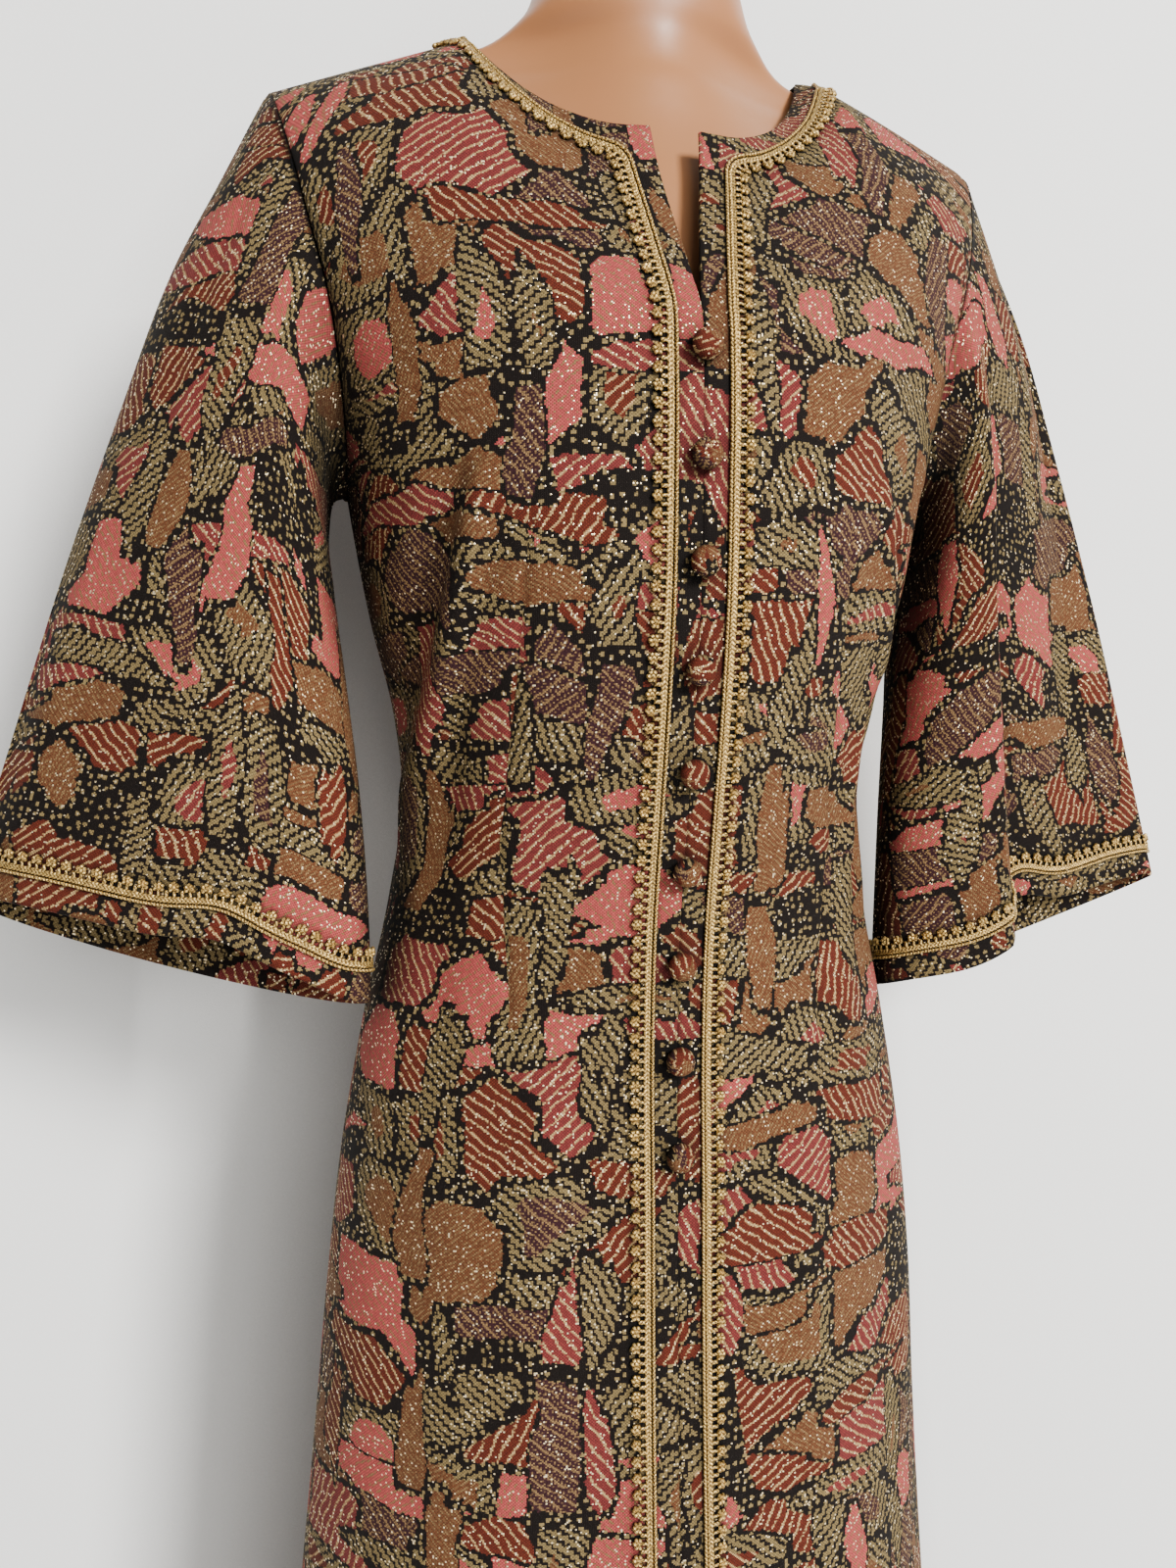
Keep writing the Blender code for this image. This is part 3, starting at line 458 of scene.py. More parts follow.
def crease_field(creases, across, up):
    """Height of a set of creases over the cloth."""
    names = list(creases)
    total = np.zeros_like(across)
    for i in range(len(creases["depth"])):
        a0, b0, a1, b1, width, depth, bow = (creases[name][i] for name in names)
        run = math.hypot(a1 - a0, b1 - b0)
        along = ((across - a0) * (a1 - a0) + (up - b0) * (b1 - b0)) / run**2
        off = ((across - a0) * (b1 - b0) - (up - b0) * (a1 - a0)) / run
        middle = np.sin(math.pi * np.clip(along, 0, 1))
        spread = width * (0.75 + 0.5 * np.clip(along, 0, 1))
        total += depth * np.exp(-(((off - bow * middle) / spread) ** 2)) * middle**0.7
    return total


def edge_fade(distance, width):
    t = np.clip(distance / width, 0, 1)
    return t * t * (3 - 2 * t)


def grid_normal(middle, closed=False):
    """Outward direction of a grid whose columns run to the wearer's left on the front."""
    if closed:
        wrapped = np.concatenate([middle[:, -1:], middle, middle[:, :1]], axis=1)
        across = (wrapped[:, 2:] - wrapped[:, :-2]) / 2
    else:
        across = np.gradient(middle, axis=1)
    return unit(np.cross(across, np.gradient(middle, axis=0)))


class Cloth:
    """A grid of cloth: middle points, outward directions and flat places in the cloth (metres) at the corners."""

    def __init__(self, middle, normal, flat, inner):
        self.middle = middle
        self.normal = normal
        self.flat = flat  # (rows, columns, 2)
        self.inner = inner  # extra thickness inside
        self.jump = np.zeros(middle.shape[:2])  # sideways jump of the flat places to the right of a dart


def body_half(panel, counts, dart, creases):
    """Half of a body, from its middle edge to the side seam and armhole, with its darts and creases."""
    columns = np.concatenate([
        np.linspace(0, NECK_SHARE, counts[0] + 1),
        np.linspace(NECK_SHARE, 1, counts[1] + 1)[1:],
    ])
    low = BODY["height"][0]
    s = np.concatenate([
        np.linspace(low, UNDERARM_HEIGHT, round((UNDERARM_HEIGHT - low) / ROW_STEP) + 1)[:-1],
        np.linspace(UNDERARM_HEIGHT, panel.top, round((panel.top - UNDERARM_HEIGHT) / ROW_STEP) + 1),
    ])
    # one column follows the dart
    heights, places = np.array(dart["x"]).T
    dense = np.linspace(0, 1, 200)
    chosen = int(np.argmin(np.abs(columns - dart["column"])))
    u = np.empty((len(s), len(columns)))
    for i, height in enumerate(s):
        x = panel.at(dense, height)[:, 0]
        target = np.interp(np.interp(height, heights, places), x, dense)
        keep = 1 - edge_fade(height - heights[-1] - 0.005, 0.05)
        target = columns[chosen] + (target - columns[chosen]) * keep
        u[i] = np.interp(columns, [0, columns[chosen], 0.8, 1], [0, target, 0.8, 1])
    rows = np.broadcast_to(s[:, None], u.shape)
    middle = panel.at(u, rows)
    normal = panel.normal(u, rows)
    across = np.concatenate(
        [np.zeros((len(s), 1)), np.cumsum(np.linalg.norm(np.diff(middle, axis=1), axis=2), axis=1)], axis=1
    )
    to_side = across[:, -1:] - across
    step_up = np.linalg.norm(np.diff(middle, axis=0), axis=2)
    from_hem = np.concatenate([np.zeros((1, u.shape[1])), np.cumsum(step_up, axis=0)], axis=0)
    to_top = from_hem[-1:] - from_hem
    fade = edge_fade(to_side, CREASE_EDGE) * edge_fade(to_top, CREASE_EDGE)
    if panel.side < 0:
        fade = fade * edge_fade(across - 0.010, 0.020)
    height = crease_field(creases, np.abs(middle[..., 0]), middle[..., 2]) * fade
    at_dart = across - across[:, chosen : chosen + 1]
    level = (s - heights[0]) / (heights[-1] - heights[0])
    taper = np.sin(math.pi * np.clip(level, 0, 1)) ** 0.5
    depth = 0.0014 * np.minimum(taper * 2, 1)
    height -= depth[:, None] * np.exp(-np.abs(at_dart) / 0.0022)
    seam = np.minimum(to_side, np.where(columns > NECK_SHARE, to_top, 1.0))
    height -= SEAM["depth"] * np.exp(-((seam / SEAM["width"]) ** 2))
    middle = middle + normal * height[..., None]

    inward = unit(middle[:, -2] - middle[:, -1])
    middle[:, -1] += inward * SEAM_GAP / 2
    middle[-1] += unit(middle[-2] - middle[-1]) * SEAM_GAP / 2
    if panel.side < 0:
        middle[:, 0, 0] += SEAM_GAP / 2
    fine = grid_normal(middle) * -panel.side
    held = np.zeros(u.shape)
    held[:, -2:] = 1
    held[-2:] = 1
    if panel.side > 0:
        held[:, :2] = 1
    normal = unit(fine * (1 - held[..., None]) + normal * held[..., None])

    free = from_hem
    neck = np.where(columns <= NECK_SHARE, to_top, 1.0)
    free = np.minimum(free, neck)
    if panel.side < 0:
        free = np.minimum(free, across)
    inner = HEM["thick"] * edge_fade(HEM["turn"] - free, 0.0025)
    cloth = Cloth(middle, normal, np.stack([across, from_hem], -1), inner)
    cloth.jump[:, chosen:] = (dart["intake"] * np.sin(math.pi * np.clip(level, 0, 1)) ** 1.2)[:, None]
    cloth.dart = chosen
    cloth.neck = int(np.argmin(np.abs(columns - NECK_SHARE)))
    return cloth


def whole_back(left, right):
    """The back from its two halves, wearer's right to left."""
    def both(a, b, flip):
        return np.concatenate([b[:, :0:-1] * flip, a], axis=1)

    flip = np.array([-1.0, 1.0, 1.0])
    cloth = Cloth(
        both(left.middle, right.middle, flip),
        both(left.normal, right.normal, flip),
        both(left.flat, right.flat, np.array([-1.0, 1.0])),
        both(left.inner, right.inner, 1),
    )
    cloth.jump = both(left.jump, right.jump, -1)
    cloth.neck = left.neck
    cloth.darts = (right.middle.shape[1] - 1 - right.dart, right.middle.shape[1] - 1 + left.dart)
    return cloth


def sleeve_cloth(fold, front_creases):
    """A sleeve from its armhole to its hem."""
    sleeve = Sleeve(fold)
    half = np.linspace(0, 1, SLEEVE_COUNTS[0] + 1)
    share = half**UPPER_CROWDING
    f = np.concatenate([share, 2 - share[-2:0:-1]])
    along = np.linspace(0, 1, SLEEVE_COUNTS[1] + 1)[:, None]
    middle, normal = sleeve.at(f, along), sleeve.normal(f, along)
    down = np.linalg.norm(np.diff(middle, axis=0), axis=2)
    from_top = np.concatenate([np.zeros((1, len(f))), np.cumsum(down, axis=0)], axis=0)
    to_hem = from_top[-1:] - from_top
    place = np.cos(math.pi * np.concatenate([half, half[-2:0:-1]]))
    place, level = np.broadcast_arrays(place, along)
    front = np.broadcast_to(f <= 1, place.shape)
    height = np.where(front, crease_field(front_creases, place, level), crease_field(SLEEVE_BACK, place, level))
    height = height * edge_fade(from_top, 0.02) * edge_fade(1 - np.abs(place), 0.12)
    height -= SEAM["depth"] * np.exp(-((from_top / SEAM["width"]) ** 2))
    middle = middle + normal * height[..., None]
    fine = grid_normal(middle, closed=True)
    fine = fine * np.sign((fine * normal).sum(-1, keepdims=True))
    normal = unit(np.where((level < 0.03)[..., None], normal, fine))
    closed = np.concatenate([middle, middle[:, :1]], axis=1)
    around = np.linalg.norm(np.diff(closed, axis=1), axis=2)
    around = np.concatenate([np.zeros((len(along), 1)), np.cumsum(around, axis=1)[:, :-1]], axis=1)
    whole = np.linalg.norm(np.diff(closed, axis=1), axis=2).sum(1)[:, None]
    # the cloth is laid out from the outer line, front one way and back the other, and parts at the underarm
    around = np.where(front, around, around - whole)
    inner = HEM["thick"] * edge_fade(HEM["turn"] - to_hem, 0.0025)
    cloth = Cloth(middle, normal, np.stack([around, to_hem], -1), inner)
    cloth.under = SLEEVE_COUNTS[0]
    return cloth


def shell(name, cloth, offset, closed=False, mirror=False, seams=()):
    """A thin closed shell through the cloth's grid, with rounded rims and the cloth's flat places as its map.
    seams is not used."""
    rows, columns = cloth.middle.shape[:2]
    outer = cloth.middle + cloth.normal * CLOTH / 2
    inner = cloth.middle - cloth.normal * (CLOTH / 2 + cloth.inner)[..., None]
    index = np.arange(rows * columns).reshape(rows, columns)
    points = [outer.reshape(-1, 3), inner.reshape(-1, 3)]
    back = index + rows * columns
    count = 2 * rows * columns
    faces, maps = [], []
    flat = cloth.flat
    jump = cloth.jump

    def add(quads, places):
        faces.append(quads.reshape(-1, 4))
        maps.append(places.reshape(-1, 4, 2))

    j = np.arange(columns if closed else columns - 1)
    k = (j + 1) % columns
    near = flat[:, j].copy()
    far = flat[:, k].copy()
    if closed:
        # the last column before the underarm, and the one that closes the ring
        over = (flat[:, k, 0] < flat[:, j, 0] - 0.05)
        width = np.linalg.norm(cloth.middle[:, k] - cloth.middle[:, j], axis=-1)
        far[..., 0] = np.where(over, flat[:, j, 0] + width, far[..., 0])
    far[..., 0] += 0
    shift = np.minimum(jump[:, j], jump[:, k]) if not cloth.__dict__.get("darts") else None
    if shift is None:
        shift = np.where(np.abs(jump[:, j]) < np.abs(jump[:, k]), jump[:, j], jump[:, k])
    near[..., 0] += shift
    far[..., 0] += shift
    quad = np.stack([index[:-1][:, j], index[:-1][:, k], index[1:][:, k], index[1:][:, j]], -1)
    places = np.stack([near[:-1], far[:-1], far[1:], near[1:]], -2)
    add(quad, places)
    add((quad + rows * columns)[..., ::-1], places[..., ::-1, :])

    def rim(first, second, out, line_flat):
        """Two strips round an edge, by way of a line that stands out from it."""
        nonlocal count
        middle = (points[0][first] + points[1][second - rows * columns]) / 2 + out * CLOTH * 0.42
        extra = np.arange(len(first)) + count
        points.append(middle)
        count += len(first)
        a = np.arange(len(first) - (0 if closed else 1))
        b = (a + 1) % len(first)
        near, far = line_flat[a], line_flat[b].copy()
        far[..., 0] = np.where(np.abs(far[..., 0] - near[..., 0]) > 0.03, near[..., 0], far[..., 0])
        place = np.stack([near, far, far, near], -2)
        add(np.stack([first[a], first[b], extra[b], extra[a]], -1), place)
        add(np.stack([extra[a], extra[b], second[b], second[a]], -1), place)

    whole = closed
    for row, beside in ((0, 1), (rows - 1, rows - 2)):
        out = unit(cloth.middle[row] - cloth.middle[beside])
        rim(index[row], back[row], out, flat[row])
    if not whole:
        for column, beside in ((0, 1), (columns - 1, columns - 2)):
            out = unit(cloth.middle[:, column] - cloth.middle[:, beside])
            rim(index[:, column], back[:, column], out, flat[:, column])
    points = np.concatenate(points)
    if mirror:
        points = points * np.array([-1.0, 1.0, 1.0])
    faces, maps = np.concatenate(faces), np.concatenate(maps)
    if mirror:
        faces, maps = faces[:, ::-1], maps[:, ::-1] * np.array([-1.0, 1.0])
    maps = maps + np.array(offset)
    obj = mesh_object(name, points, faces, maps)
    if not closed:
        # corners where two rims meet
        close_holes(obj)
    return obj


def close_holes(obj):
    import bmesh

    bm = bmesh.new()
    bm.from_mesh(obj.data)
    layer = bm.loops.layers.uv["cloth"]
    open_edges = [e for e in bm.edges if e.is_boundary]
    made = bmesh.ops.holes_fill(bm, edges=open_edges, sides=0)["faces"]
    for face in made:
        for loop in face.loops:
            near = next((other for other in loop.vert.link_loops if other.face not in made), None)
            if near:
                loop[layer].uv = near[layer].uv
    bmesh.ops.recalc_face_normals(bm, faces=bm.faces)
    bm.to_mesh(obj.data)
    bm.free()


def mesh_object(name, points, faces, maps=None, map_name="cloth"):
    mesh = bpy.data.meshes.new(name)
    mesh.from_pydata(points.tolist(), [], [f.tolist() if isinstance(f, np.ndarray) else f for f in faces])
    if maps is not None:
        layer = mesh.uv_layers.new(name=map_name)
        layer.data.foreach_set("uv", np.asarray(maps, float).reshape(-1))
    mesh.update()
    obj = bpy.data.objects.new(name, mesh)
    bpy.context.scene.collection.objects.link(obj)
    mesh.shade_smooth()
    return obj


def outer_tree(cloth, closed=False):
    """The cloth's outer face, for what is laid on it."""
    rows, columns = cloth.middle.shape[:2]
    points = [Vector(p) for p in (cloth.middle + cloth.normal * CLOTH / 2).reshape(-1, 3)]
    index = np.arange(rows * columns).reshape(rows, columns)
    j = np.arange(columns if closed else columns - 1)
    k = (j + 1) % columns
    quads = np.stack([index[:-1][:, j], index[:-1][:, k], index[1:][:, k], index[1:][:, j]], -1)
    return BVHTree.FromPolygons(points, quads.reshape(-1, 4).tolist())


CORD_RADIUS = 0.00078
PICOT = {"centre": 0.0100, "radius": 0.00190, "bead": 0.00124, "angles": (-118, -60, 0, 60, 118, None)}
CORNER_RADIUS = 0.0075
SAMPLE = 0.0008


def on_cloth(line, tree):
    hits = [tree.find_nearest(Vector(p)) for p in line]
    return np.array([hit[0] for hit in hits]), unit(np.array([hit[1] for hit in hits]))


def resampled(line, step):
    along = lengths(line)
    at = np.linspace(0, along[-1], max(2, round(along[-1] / step) + 1))
    return np.stack([np.interp(at, along, line[:, i]) for i in range(3)], -1)


def softened(line, times):
    for _ in range(times):
        line[1:-1] = (line[:-2] + 2 * line[1:-1] + line[2:]) / 4
    return line


def offset_line(edge, tree, reach, turn):
    """The line in the cloth at a distance from its edge."""
    points, normals = on_cloth(edge, tree)
    side = turn * unit(np.cross(np.gradient(edge, axis=0), normals))
    return on_cloth(edge + side * reach, tree)[0]


def ribbon_frame(path, tree, turn, closed=False):
    """Points and directions of a braid along its middle line: three points across, and the cloth's direction."""
    path, normal = on_cloth(path, tree)
    if closed:
        wrapped = np.concatenate([path[-1:], path, path[:1]])
        tangent = unit(wrapped[2:] - wrapped[:-2])
    else:
        tangent = unit(np.gradient(path, axis=0))
    side = turn * unit(np.cross(tangent, normal))
    half = BRAID["width"] / 2
    firm, firm_normal = on_cloth(path - side * half, tree)
    tip, tip_normal = on_cloth(path + side * half, tree)
    normal = unit(normal * 2 + firm_normal + tip_normal)
    return firm, path, tip, normal


def tube(path, radius, sides, squash=1.0):
    """A tube along a path in the braid's own coordinates (along, across, height), closed at its ends."""
    path = np.asarray(path, float)
    radius = np.broadcast_to(radius, len(path))
    tangent = unit(np.gradient(path, axis=0))
    up = np.array([0.0, 0.0, 1.0])
    side = unit(np.cross(tangent, up))
    top = np.cross(side, tangent)
    angle = np.linspace(0, 2 * math.pi, sides, endpoint=False)
    ring = np.cos(angle)[None, :, None] * side[:, None] + squash * np.sin(angle)[None, :, None] * top[:, None]
    points = path[:, None] + ring * radius[:, None, None]
    faces = []
    for i in range(len(path) - 1):
        for j in range(sides):
            k = (j + 1) % sides
            faces.append([i * sides + j, i * sides + k, (i + 1) * sides + k, (i + 1) * sides + j])
    faces.append(list(range(sides))[::-1])
    faces.append([(len(path) - 1) * sides + j for j in range(sides)])
    return points.reshape(-1, 3), faces


def bead(middle, radius, sides=7, rings=4):
    """A small round bead in the braid's own coordinates."""
    points = [(0.0, 0.0, radius)]
    for i in range(1, rings):
        polar = math.pi * i / rings
        for j in range(sides):
            angle = 2 * math.pi * (j + 0.5 * (i % 2)) / sides
            points.append((radius * math.sin(polar) * math.cos(angle), radius * math.sin(polar) * math.sin(angle),
                           radius * math.cos(polar)))
    points.append((0.0, 0.0, -radius))
    last = len(points) - 1
    faces = []
    for j in range(sides):
        k = (j + 1) % sides
        faces.append([0, 1 + j, 1 + k])
        for i in range(rings - 2):
            a, b = 1 + i * sides, 1 + (i + 1) * sides
            faces.append([a + j, b + j, b + k, a + k])
        a = 1 + (rings - 2) * sides
        faces.append([a + j, last, a + k])
    return np.array(points) + np.array(middle), faces


def braid_pattern(pitch):
    """One repeat of the braid: twisted edge cord, plaited band, ladder bars and a beaded picot."""
    pieces = []
    turns = 6
    t = np.linspace(0, pitch, 4 * turns + 1)
    twist = np.cos(2 * math.pi * t / (pitch / turns))
    cord = np.stack([t, 0.00095 + 0.00012 * twist, 0.00085 + 0.00010 * twist], -1)
    pieces.append(tube(cord, CORD_RADIUS * (1 + 0.16 * twist), 6))
    # plaited band: small lumps in two rows, half a lump apart
    across = np.array((0.0022, 0.0023, 0.0029, 0.0035, 0.0039, 0.0043, 0.0049, 0.0055, 0.0056))
    rise = np.array((0.0, 0.0006, 0.0010, 0.0009, 0.00045, 0.0009, 0.0010, 0.0006, 0.0))
    row = np.sign(across - 0.0039)
    stations = np.linspace(0, pitch, 17)
    points, faces = [], []
    for at in stations:
        lump = 1 + 0.28 * np.cos(2 * math.pi * at / (pitch / 5) + row * math.pi / 2)
        points += [(at, w, h) for w, h in zip(across, rise * lump)]
    n = len(across)
    for i in range(len(stations) - 1):
        for j in range(n - 1):
            faces.append([i * n + j, i * n + j + 1, (i + 1) * n + j + 1, (i + 1) * n + j])
    pieces.append((np.array(points), faces))
    # ladder bars, with the holes between them
    for share, wide in ((0.02, 0.00105), (0.50, 0.00085)):
        line = [(pitch * share, across, 0.00055) for across in (0.0050, 0.0061, 0.0073, 0.0086)]
        pieces.append(tube(line, wide, 6, 0.65))
    # the picot is a knot of beads round a middle one
    for angle in PICOT["angles"]:
        reach = PICOT["radius"] if angle is not None else 0.0
        turn = math.radians(angle or 0.0)
        middle = (pitch / 2 + reach * math.sin(turn), PICOT["centre"] + reach * math.cos(turn), PICOT["bead"] * 0.8)
        pieces.append(bead(middle, PICOT["bead"] * (1.0 if angle is not None else 1.15)))
    all_points, all_faces, count = [], [], 0
    for points, faces in pieces:
        all_points.append(points)
        all_faces += [[v + count for v in face] for face in faces]
        count += len(points)
    return np.concatenate(all_points), all_faces


def braid(name, path, tree, turn, closed=False):
    """A braid laid on the cloth along its middle line. turn is the side that its picots point to."""
    firm, middle, tip, normal = ribbon_frame(path, tree, turn, closed)
    if closed:
        firm, middle, tip, normal = (np.concatenate([a, a[:1]]) for a in (firm, middle, tip, normal))
    along = lengths(middle)
    repeats = round(along[-1] / BRAID["pitch"])
    pitch = along[-1] / repeats
    pattern, pattern_faces = braid_pattern(pitch)
    starts = np.arange(repeats)[:, None] * pitch
    local = np.repeat(pattern[None], repeats, axis=0)
    local[..., 0] += starts
    jitter = np.random.default_rng(len(name)).normal(0, 1, (repeats, 2))
    wide = np.clip((local[..., 1] - 0.0085) / 0.003, 0, 1)
    local[..., 0] += wide * jitter[:, :1] * 0.00022
    local[..., 1] += wide * jitter[:, 1:] * 0.00018
    t = local[..., 0].reshape(-1)
    t = np.mod(t, along[-1]) if closed else np.clip(t, 0, along[-1])
    w = local[..., 1].reshape(-1)
    h = local[..., 2].reshape(-1)
    share = w / BRAID["width"]
    a, b, c = (np.stack([np.interp(t, along, line[:, i]) for i in range(3)], -1) for line in (firm, middle, tip))
    n = unit(np.stack([np.interp(t, along, normal[:, i]) for i in range(3)], -1))
    s = share[:, None]
    points = a * (2 * (s - 0.5) * (s - 1)) + b * (4 * s * (1 - s)) + c * (2 * s * (s - 0.5))
    points = points + n * (BRAID["gap"] + h)[:, None]
    faces = []
    size = len(pattern)
    for i in range(repeats):
        faces += [[v + i * size for v in face] for face in pattern_faces]
    flat = np.stack([local[..., 0].reshape(-1), w], -1)
    maps = np.array([flat[v] for face in faces for v in face])
    mesh = bpy.data.meshes.new(name)
    mesh.from_pydata(points.tolist(), [], faces)
    mesh.uv_layers.new(name="thread").data.foreach_set("uv", maps.reshape(-1))
    mesh.update()
    obj = bpy.data.objects.new(name, mesh)
    bpy.context.scene.collection.objects.link(obj)
    mesh.shade_smooth()
    return obj


def front_path(cloth, tree):
    """The front braid's middle line: up beside the centre, round the neck corner, along the neckline."""
    reach = BRAID["inset"] + BRAID["width"] / 2
    centre = resampled(cloth.middle[:, 0], SAMPLE)
    neck = resampled(cloth.middle[-1, : cloth.neck + 1], SAMPLE)
    beside = offset_line(centre, tree, reach, 1)
    below = offset_line(neck, tree, reach, 1)
    gap = np.linalg.norm(beside[:, None, ::2] - below[None, :, ::2], axis=-1)
    i, j = np.unravel_index(np.argmin(gap), gap.shape)
    cut = round(CORNER_RADIUS / SAMPLE)
    start, corner, end = beside[i - cut], (beside[i] + below[j]) / 2, below[j + cut]
    t = np.linspace(0, 1, 2 * cut)[:, None]
    arc = start * (1 - t) ** 2 + 2 * corner * t * (1 - t) + end * t**2
    path = np.concatenate([beside[: i - cut], arc, below[j + cut + 1 :]])
    path = resampled(softened(path, 6), SAMPLE)
    return path[round(BRAID_END / SAMPLE) :]


def neck_path(cloth, tree):
    reach = BRAID["inset"] + BRAID["width"] / 2
    middle = cloth.middle.shape[1] // 2
    neck = resampled(cloth.middle[-1, middle - cloth.neck : middle + cloth.neck + 1], SAMPLE)
    return resampled(softened(offset_line(neck, tree, reach, 1), 6), SAMPLE)


def sleeve_path(cloth, tree):
    """Round the sleeve, at the braid's height over the hem."""
    reach = SLEEVE_BRAID_INSET + BRAID["width"] / 2
    points = []
    for column in range(cloth.middle.shape[1]):
        height = cloth.flat[::-1, column, 1]
        line = cloth.middle[::-1, column]
        points.append([np.interp(reach, height, line[:, i]) for i in range(3)])
    points = np.array(points + points[:1])
    return resampled(points, SAMPLE)[:-1]


class Nodes:
    """Short calls for building a material's nodes."""

    def __init__(self, name):
        self.material = bpy.data.materials.new(name)
        self.material.use_nodes = True
        self.tree = self.material.node_tree
        self.shader = self.tree.nodes["Principled BSDF"]

    def node(self, kind, inputs=(), **settings):
        made = self.tree.nodes.new(f"ShaderNode{kind}")
        for key, value in settings.items():
            setattr(made, key, value)
        for key, value in dict(inputs).items():
            self.put(made.inputs[key], value)
        return made

    def put(self, socket, value):
        if isinstance(value, bpy.types.NodeSocket):
            self.tree.links.new(value, socket)
        elif isinstance(value, (tuple, list)) and len(value) == 3 and socket.type == "RGBA":
            socket.default_value = (*value, 1)
        else:
            socket.default_value = value

    def math(self, operation, a, b=0.0, c=0.0):
        return self.node("Math", {0: a, 1: b, 2: c}, operation=operation).outputs[0]

    def vector(self, operation, a, b=(0.0, 0.0, 0.0)):
        made = self.node("VectorMath", {0: a, 1: b}, operation=operation)
        return made.outputs["Value" if operation in ("DOT_PRODUCT", "LENGTH", "DISTANCE") else "Vector"]

    def scaled(self, a, factors):
        return self.vector("MULTIPLY", a, factors)

    def mix(self, factor, a, b):
        made = self.node("Mix", data_type="RGBA", clamp_factor=True)
        for socket, value in ((made.inputs[0], factor), (made.inputs[6], a), (made.inputs[7], b)):
            self.put(socket, value)
        return made.outputs[2]

    def blend(self, factor, a, b):
        made = self.node("Mix", data_type="FLOAT", clamp_factor=True)
        for socket, value in ((made.inputs[0], factor), (made.inputs[2], a), (made.inputs[3], b)):
            self.put(socket, value)
        return made.outputs[0]

    def above(self, value, limit):
        return self.math("GREATER_THAN", value, limit)

    def below(self, value, limit):
        return self.math("LESS_THAN", value, limit)

    def both(self, a, b):
        return self.math("MULTIPLY", a, b)

    def either(self, a, b):
        return self.math("MAXIMUM", a, b)

    def noise(self, at, scale, detail=2.0, output="Fac", rough=0.5, dimensions="3D"):
        made = self.node("TexNoise", {"Vector": at, "Scale": scale, "Detail": detail, "Roughness": rough})
        made.noise_dimensions = dimensions
        return made.outputs[output]

    def voronoi(self, at, feature="F1", distance="CHEBYCHEV", randomness=1.0):
        made = self.node("TexVoronoi", feature=feature, voronoi_dimensions="2D")
        if feature != "DISTANCE_TO_EDGE":
            made.distance = distance
        self.put(made.inputs["Vector"], at)
        self.put(made.inputs["Scale"], 1.0)
        self.put(made.inputs["Randomness"], randomness)
        return made

    def channels(self, colour):
        made = self.node("SeparateColor", {0: colour})
        return made.outputs[0], made.outputs[1], made.outputs[2]

    def finish(self, **values):
        for key, value in values.items():
            self.put(self.shader.inputs[key.replace("_", " ")], value)
        return self.material


STITCH = (0.00086, 0.00078, 1.0)
YARN = {
    "ground": (0.0040, 0.0021, 0.0014),
    "rust": (0.092, 0.0145, 0.0066),
    "pink": (0.350, 0.062, 0.056),
    "tan": (0.112, 0.040, 0.0150),
    "beige": (0.175, 0.124, 0.051),
    "plum": (0.030, 0.0085, 0.011),
    "rose": (0.150, 0.0235, 0.0215),
    "gold": (0.400, 0.255, 0.115),
    "dull_gold": (0.185, 0.107, 0.046),
    "glint": (0.90, 0.73, 0.45),
}
GAP = 0.095  # half width of the dark ground between patches, in shares of a patch
BAND = 0.40  # how far the light strokes reach into a patch


